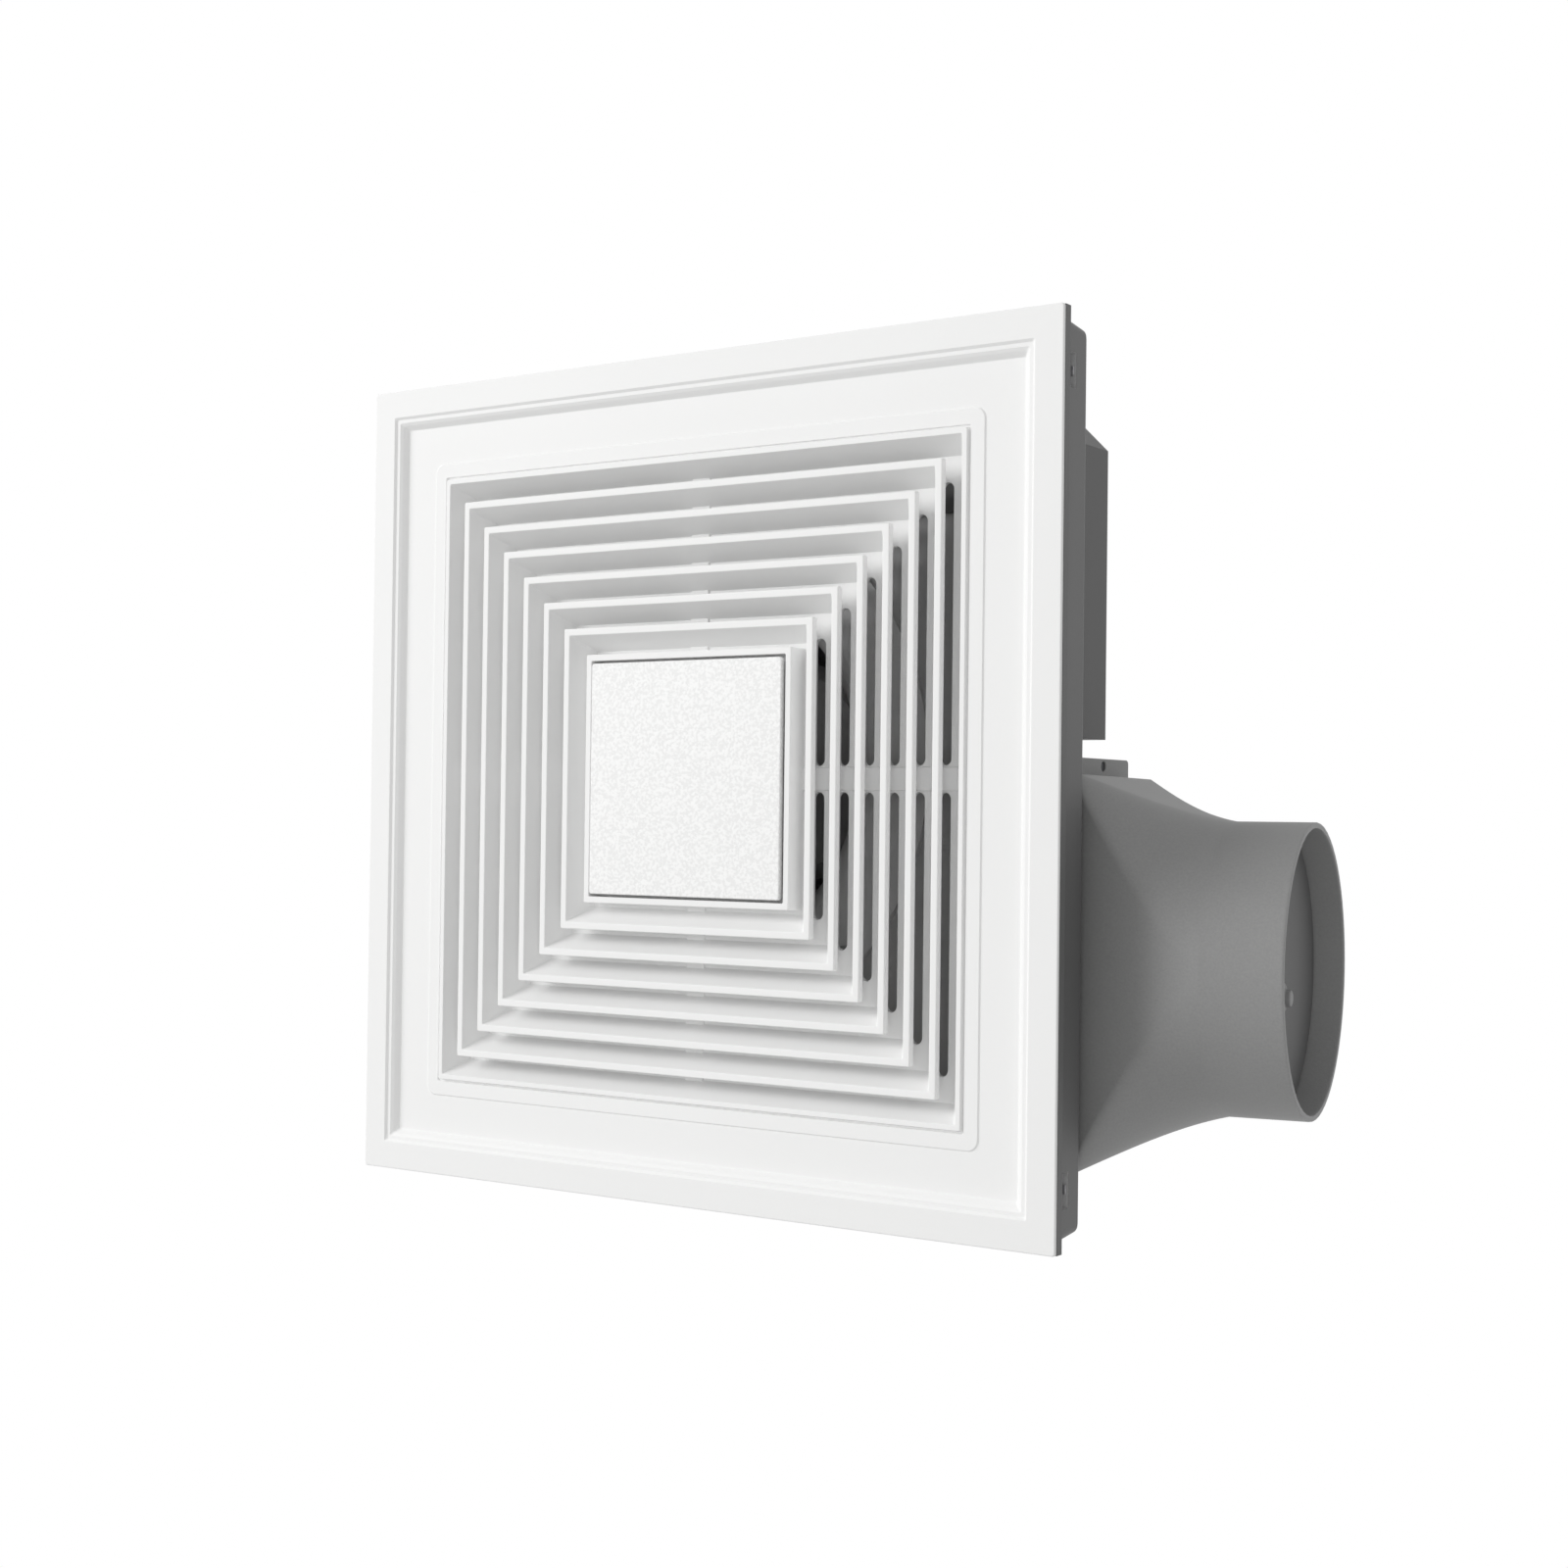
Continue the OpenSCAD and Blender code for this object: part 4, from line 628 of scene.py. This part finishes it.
adapter = ([], [])
mouth_lip = [(back, spigot_r - drop) for back, drop in
             ((26.4, 0), (14, 0), (1, 0), (0.5, 0), (0.15, 0.15), (0, 0.5))]
mouth_lip += [(back, spigot_bore + rise) for back, rise in
              ((0, 0.4), (0.12, 0.12), (0.4, 0), (1, 0), (14, 0), (26.4, 0))]
duct_rings = [in_flange(duct_section(0, 0))]
duct_rings += [duct_section(j / loft_steps, 0) for j in range(loft_steps + 1)]
duct_rings += [duct_section(1, 0, centre=mouth - back * spigot_axis, radius=r) for back, r in mouth_lip]
duct_rings += [duct_section(j / loft_steps, duct_wall) for j in range(loft_steps, -1, -1)]
duct_rings.append(in_flange(duct_section(0, duct_wall)))
skin(adapter, [in_metres(ring) for ring in duct_rings])


def rounded_outline(half_x, half_y, r, steps=5):
    """Outline in mm of a rectangle with round corners."""
    points = []
    for sx, sy, a0 in ((1, 1, 0), (-1, 1, 90), (-1, -1, 180), (1, -1, 270)):
        for k in range(steps + 1):
            a = math.radians(a0 + 90 * k / steps)
            points.append((sx * (half_x - r) + r * math.cos(a), sy * (half_y - r) + r * math.sin(a)))
    return points


screw_holes = [[(sy * (outlet_half_y + screw_lap) + y, sz * screw_share * outlet_half_z + z)
                for y, z in circle(screw_hole_r, 24)] for sy in (-1, 1) for sz in (-1, 1)]
duct_hole = rounded_outline(outlet_half_y - duct_wall, outlet_half_z - duct_wall, 3)
flange_outline = rounded_outline(outlet_half_y + flange_lap_y, outlet_half_z + flange_lap_z, 1.5)
to_flange = (Matrix.Translation((flange_x - flange_t / 2, duct_y, duct_z))
             @ Matrix(((0, 0, 1, 0), (1, 0, 0, 0), (0, 1, 0, 0), (0, 0, 0, 1))))
plate_with_holes(adapter, flange_outline, screw_holes + [duct_hole], flange_t, flange_edge,
                 to_flange)

pivot_up, flap_back, flap_off = 6.0, 11.0, 3.8
lug_r, lug_in, lug_root, pin_hole_r = 2.7, 43.0, 47.6, 1.58
seat_back, seat_t, seat_in, seat_root, seat_steps = flap_back + 1.9, 1.5, spigot_bore - 3, 47.4, 40


def on_spigot(back, y, z):
    """A point in mm at a distance behind the mouth's centre, across and up."""
    return mouth - back * spigot_axis + y * across + z * spigot_up


lug_profile = ((lug_root, pin_hole_r), (lug_in, pin_hole_r), (lug_in, lug_r - 0.3),
               (lug_in + 0.3, lug_r), (lug_root, lug_r))
for side in (-1, 1):
    skin(adapter, [in_metres([on_spigot(flap_back + flap_off - x, side * y, pivot_up + z)
                              for x, z in circle(r, 32)]) for y, r in lug_profile])
seat_profile = ((0, seat_root), (0, seat_in + 0.3), (0.3, seat_in), (seat_t - 0.3, seat_in),
                (seat_t, seat_in + 0.3), (seat_t, seat_root))
seat_angles = [math.radians(180.5 + 179 * k / seat_steps) for k in range(seat_steps + 1)]
seat_rings = [in_metres([on_spigot(seat_back + back, r * math.cos(a), r * math.sin(a))
                         for back, r in seat_profile]) for a in seat_angles]
skin(adapter, seat_rings, closed=False, cap_first=True, cap_last=True)
duct = put("adapter_moulding", adapter, "housing", adapter_grey)
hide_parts("duct_adapter")
dress(metal_finish("blued_screw", (0.035, 0.036, 0.04), 0.4, 1500.0, 0.00001), "adapter_screws")

# Backdraught flap: a grey disc on a steel pin, with a foam ring on its inner face. A small
# rounded cover goes over the plain peg on its outer face.
dress(grey_moulding("flap_grey", 0.105, speckle=0.1, roughness=0.6), "damper_flap")
peg_grey = grained_finish("peg_grey", (0.24, 0.24, 0.24), 1500.0, 0.00004, drift=0.1,
                          speckle=0.1, roughness=0.5, spread=0.15, soft_edge=0)
flap_peg_y, flap_peg_z, flap_face = 9.0, -2.0, flap_back - 0.8
peg_profile = ((5.2, -0.1), (5.0, 0.15), (4.3, 0.5), (3.4, 0.8), (3.0, 1.2), (2.85, 2.2),
               (2.6, 2.6), (2.1, 2.8), (1.2, 2.86))
peg_cover = ([], [])
skin(peg_cover, [in_metres([on_spigot(flap_face - out, flap_peg_y + y, flap_peg_z + z)
                            for y, z in circle(r, 40)]) for r, out in peg_profile],
     closed=False, cap_first=True, cap_last=True)
put("flap_peg_cover", peg_cover, "damper", peg_grey)
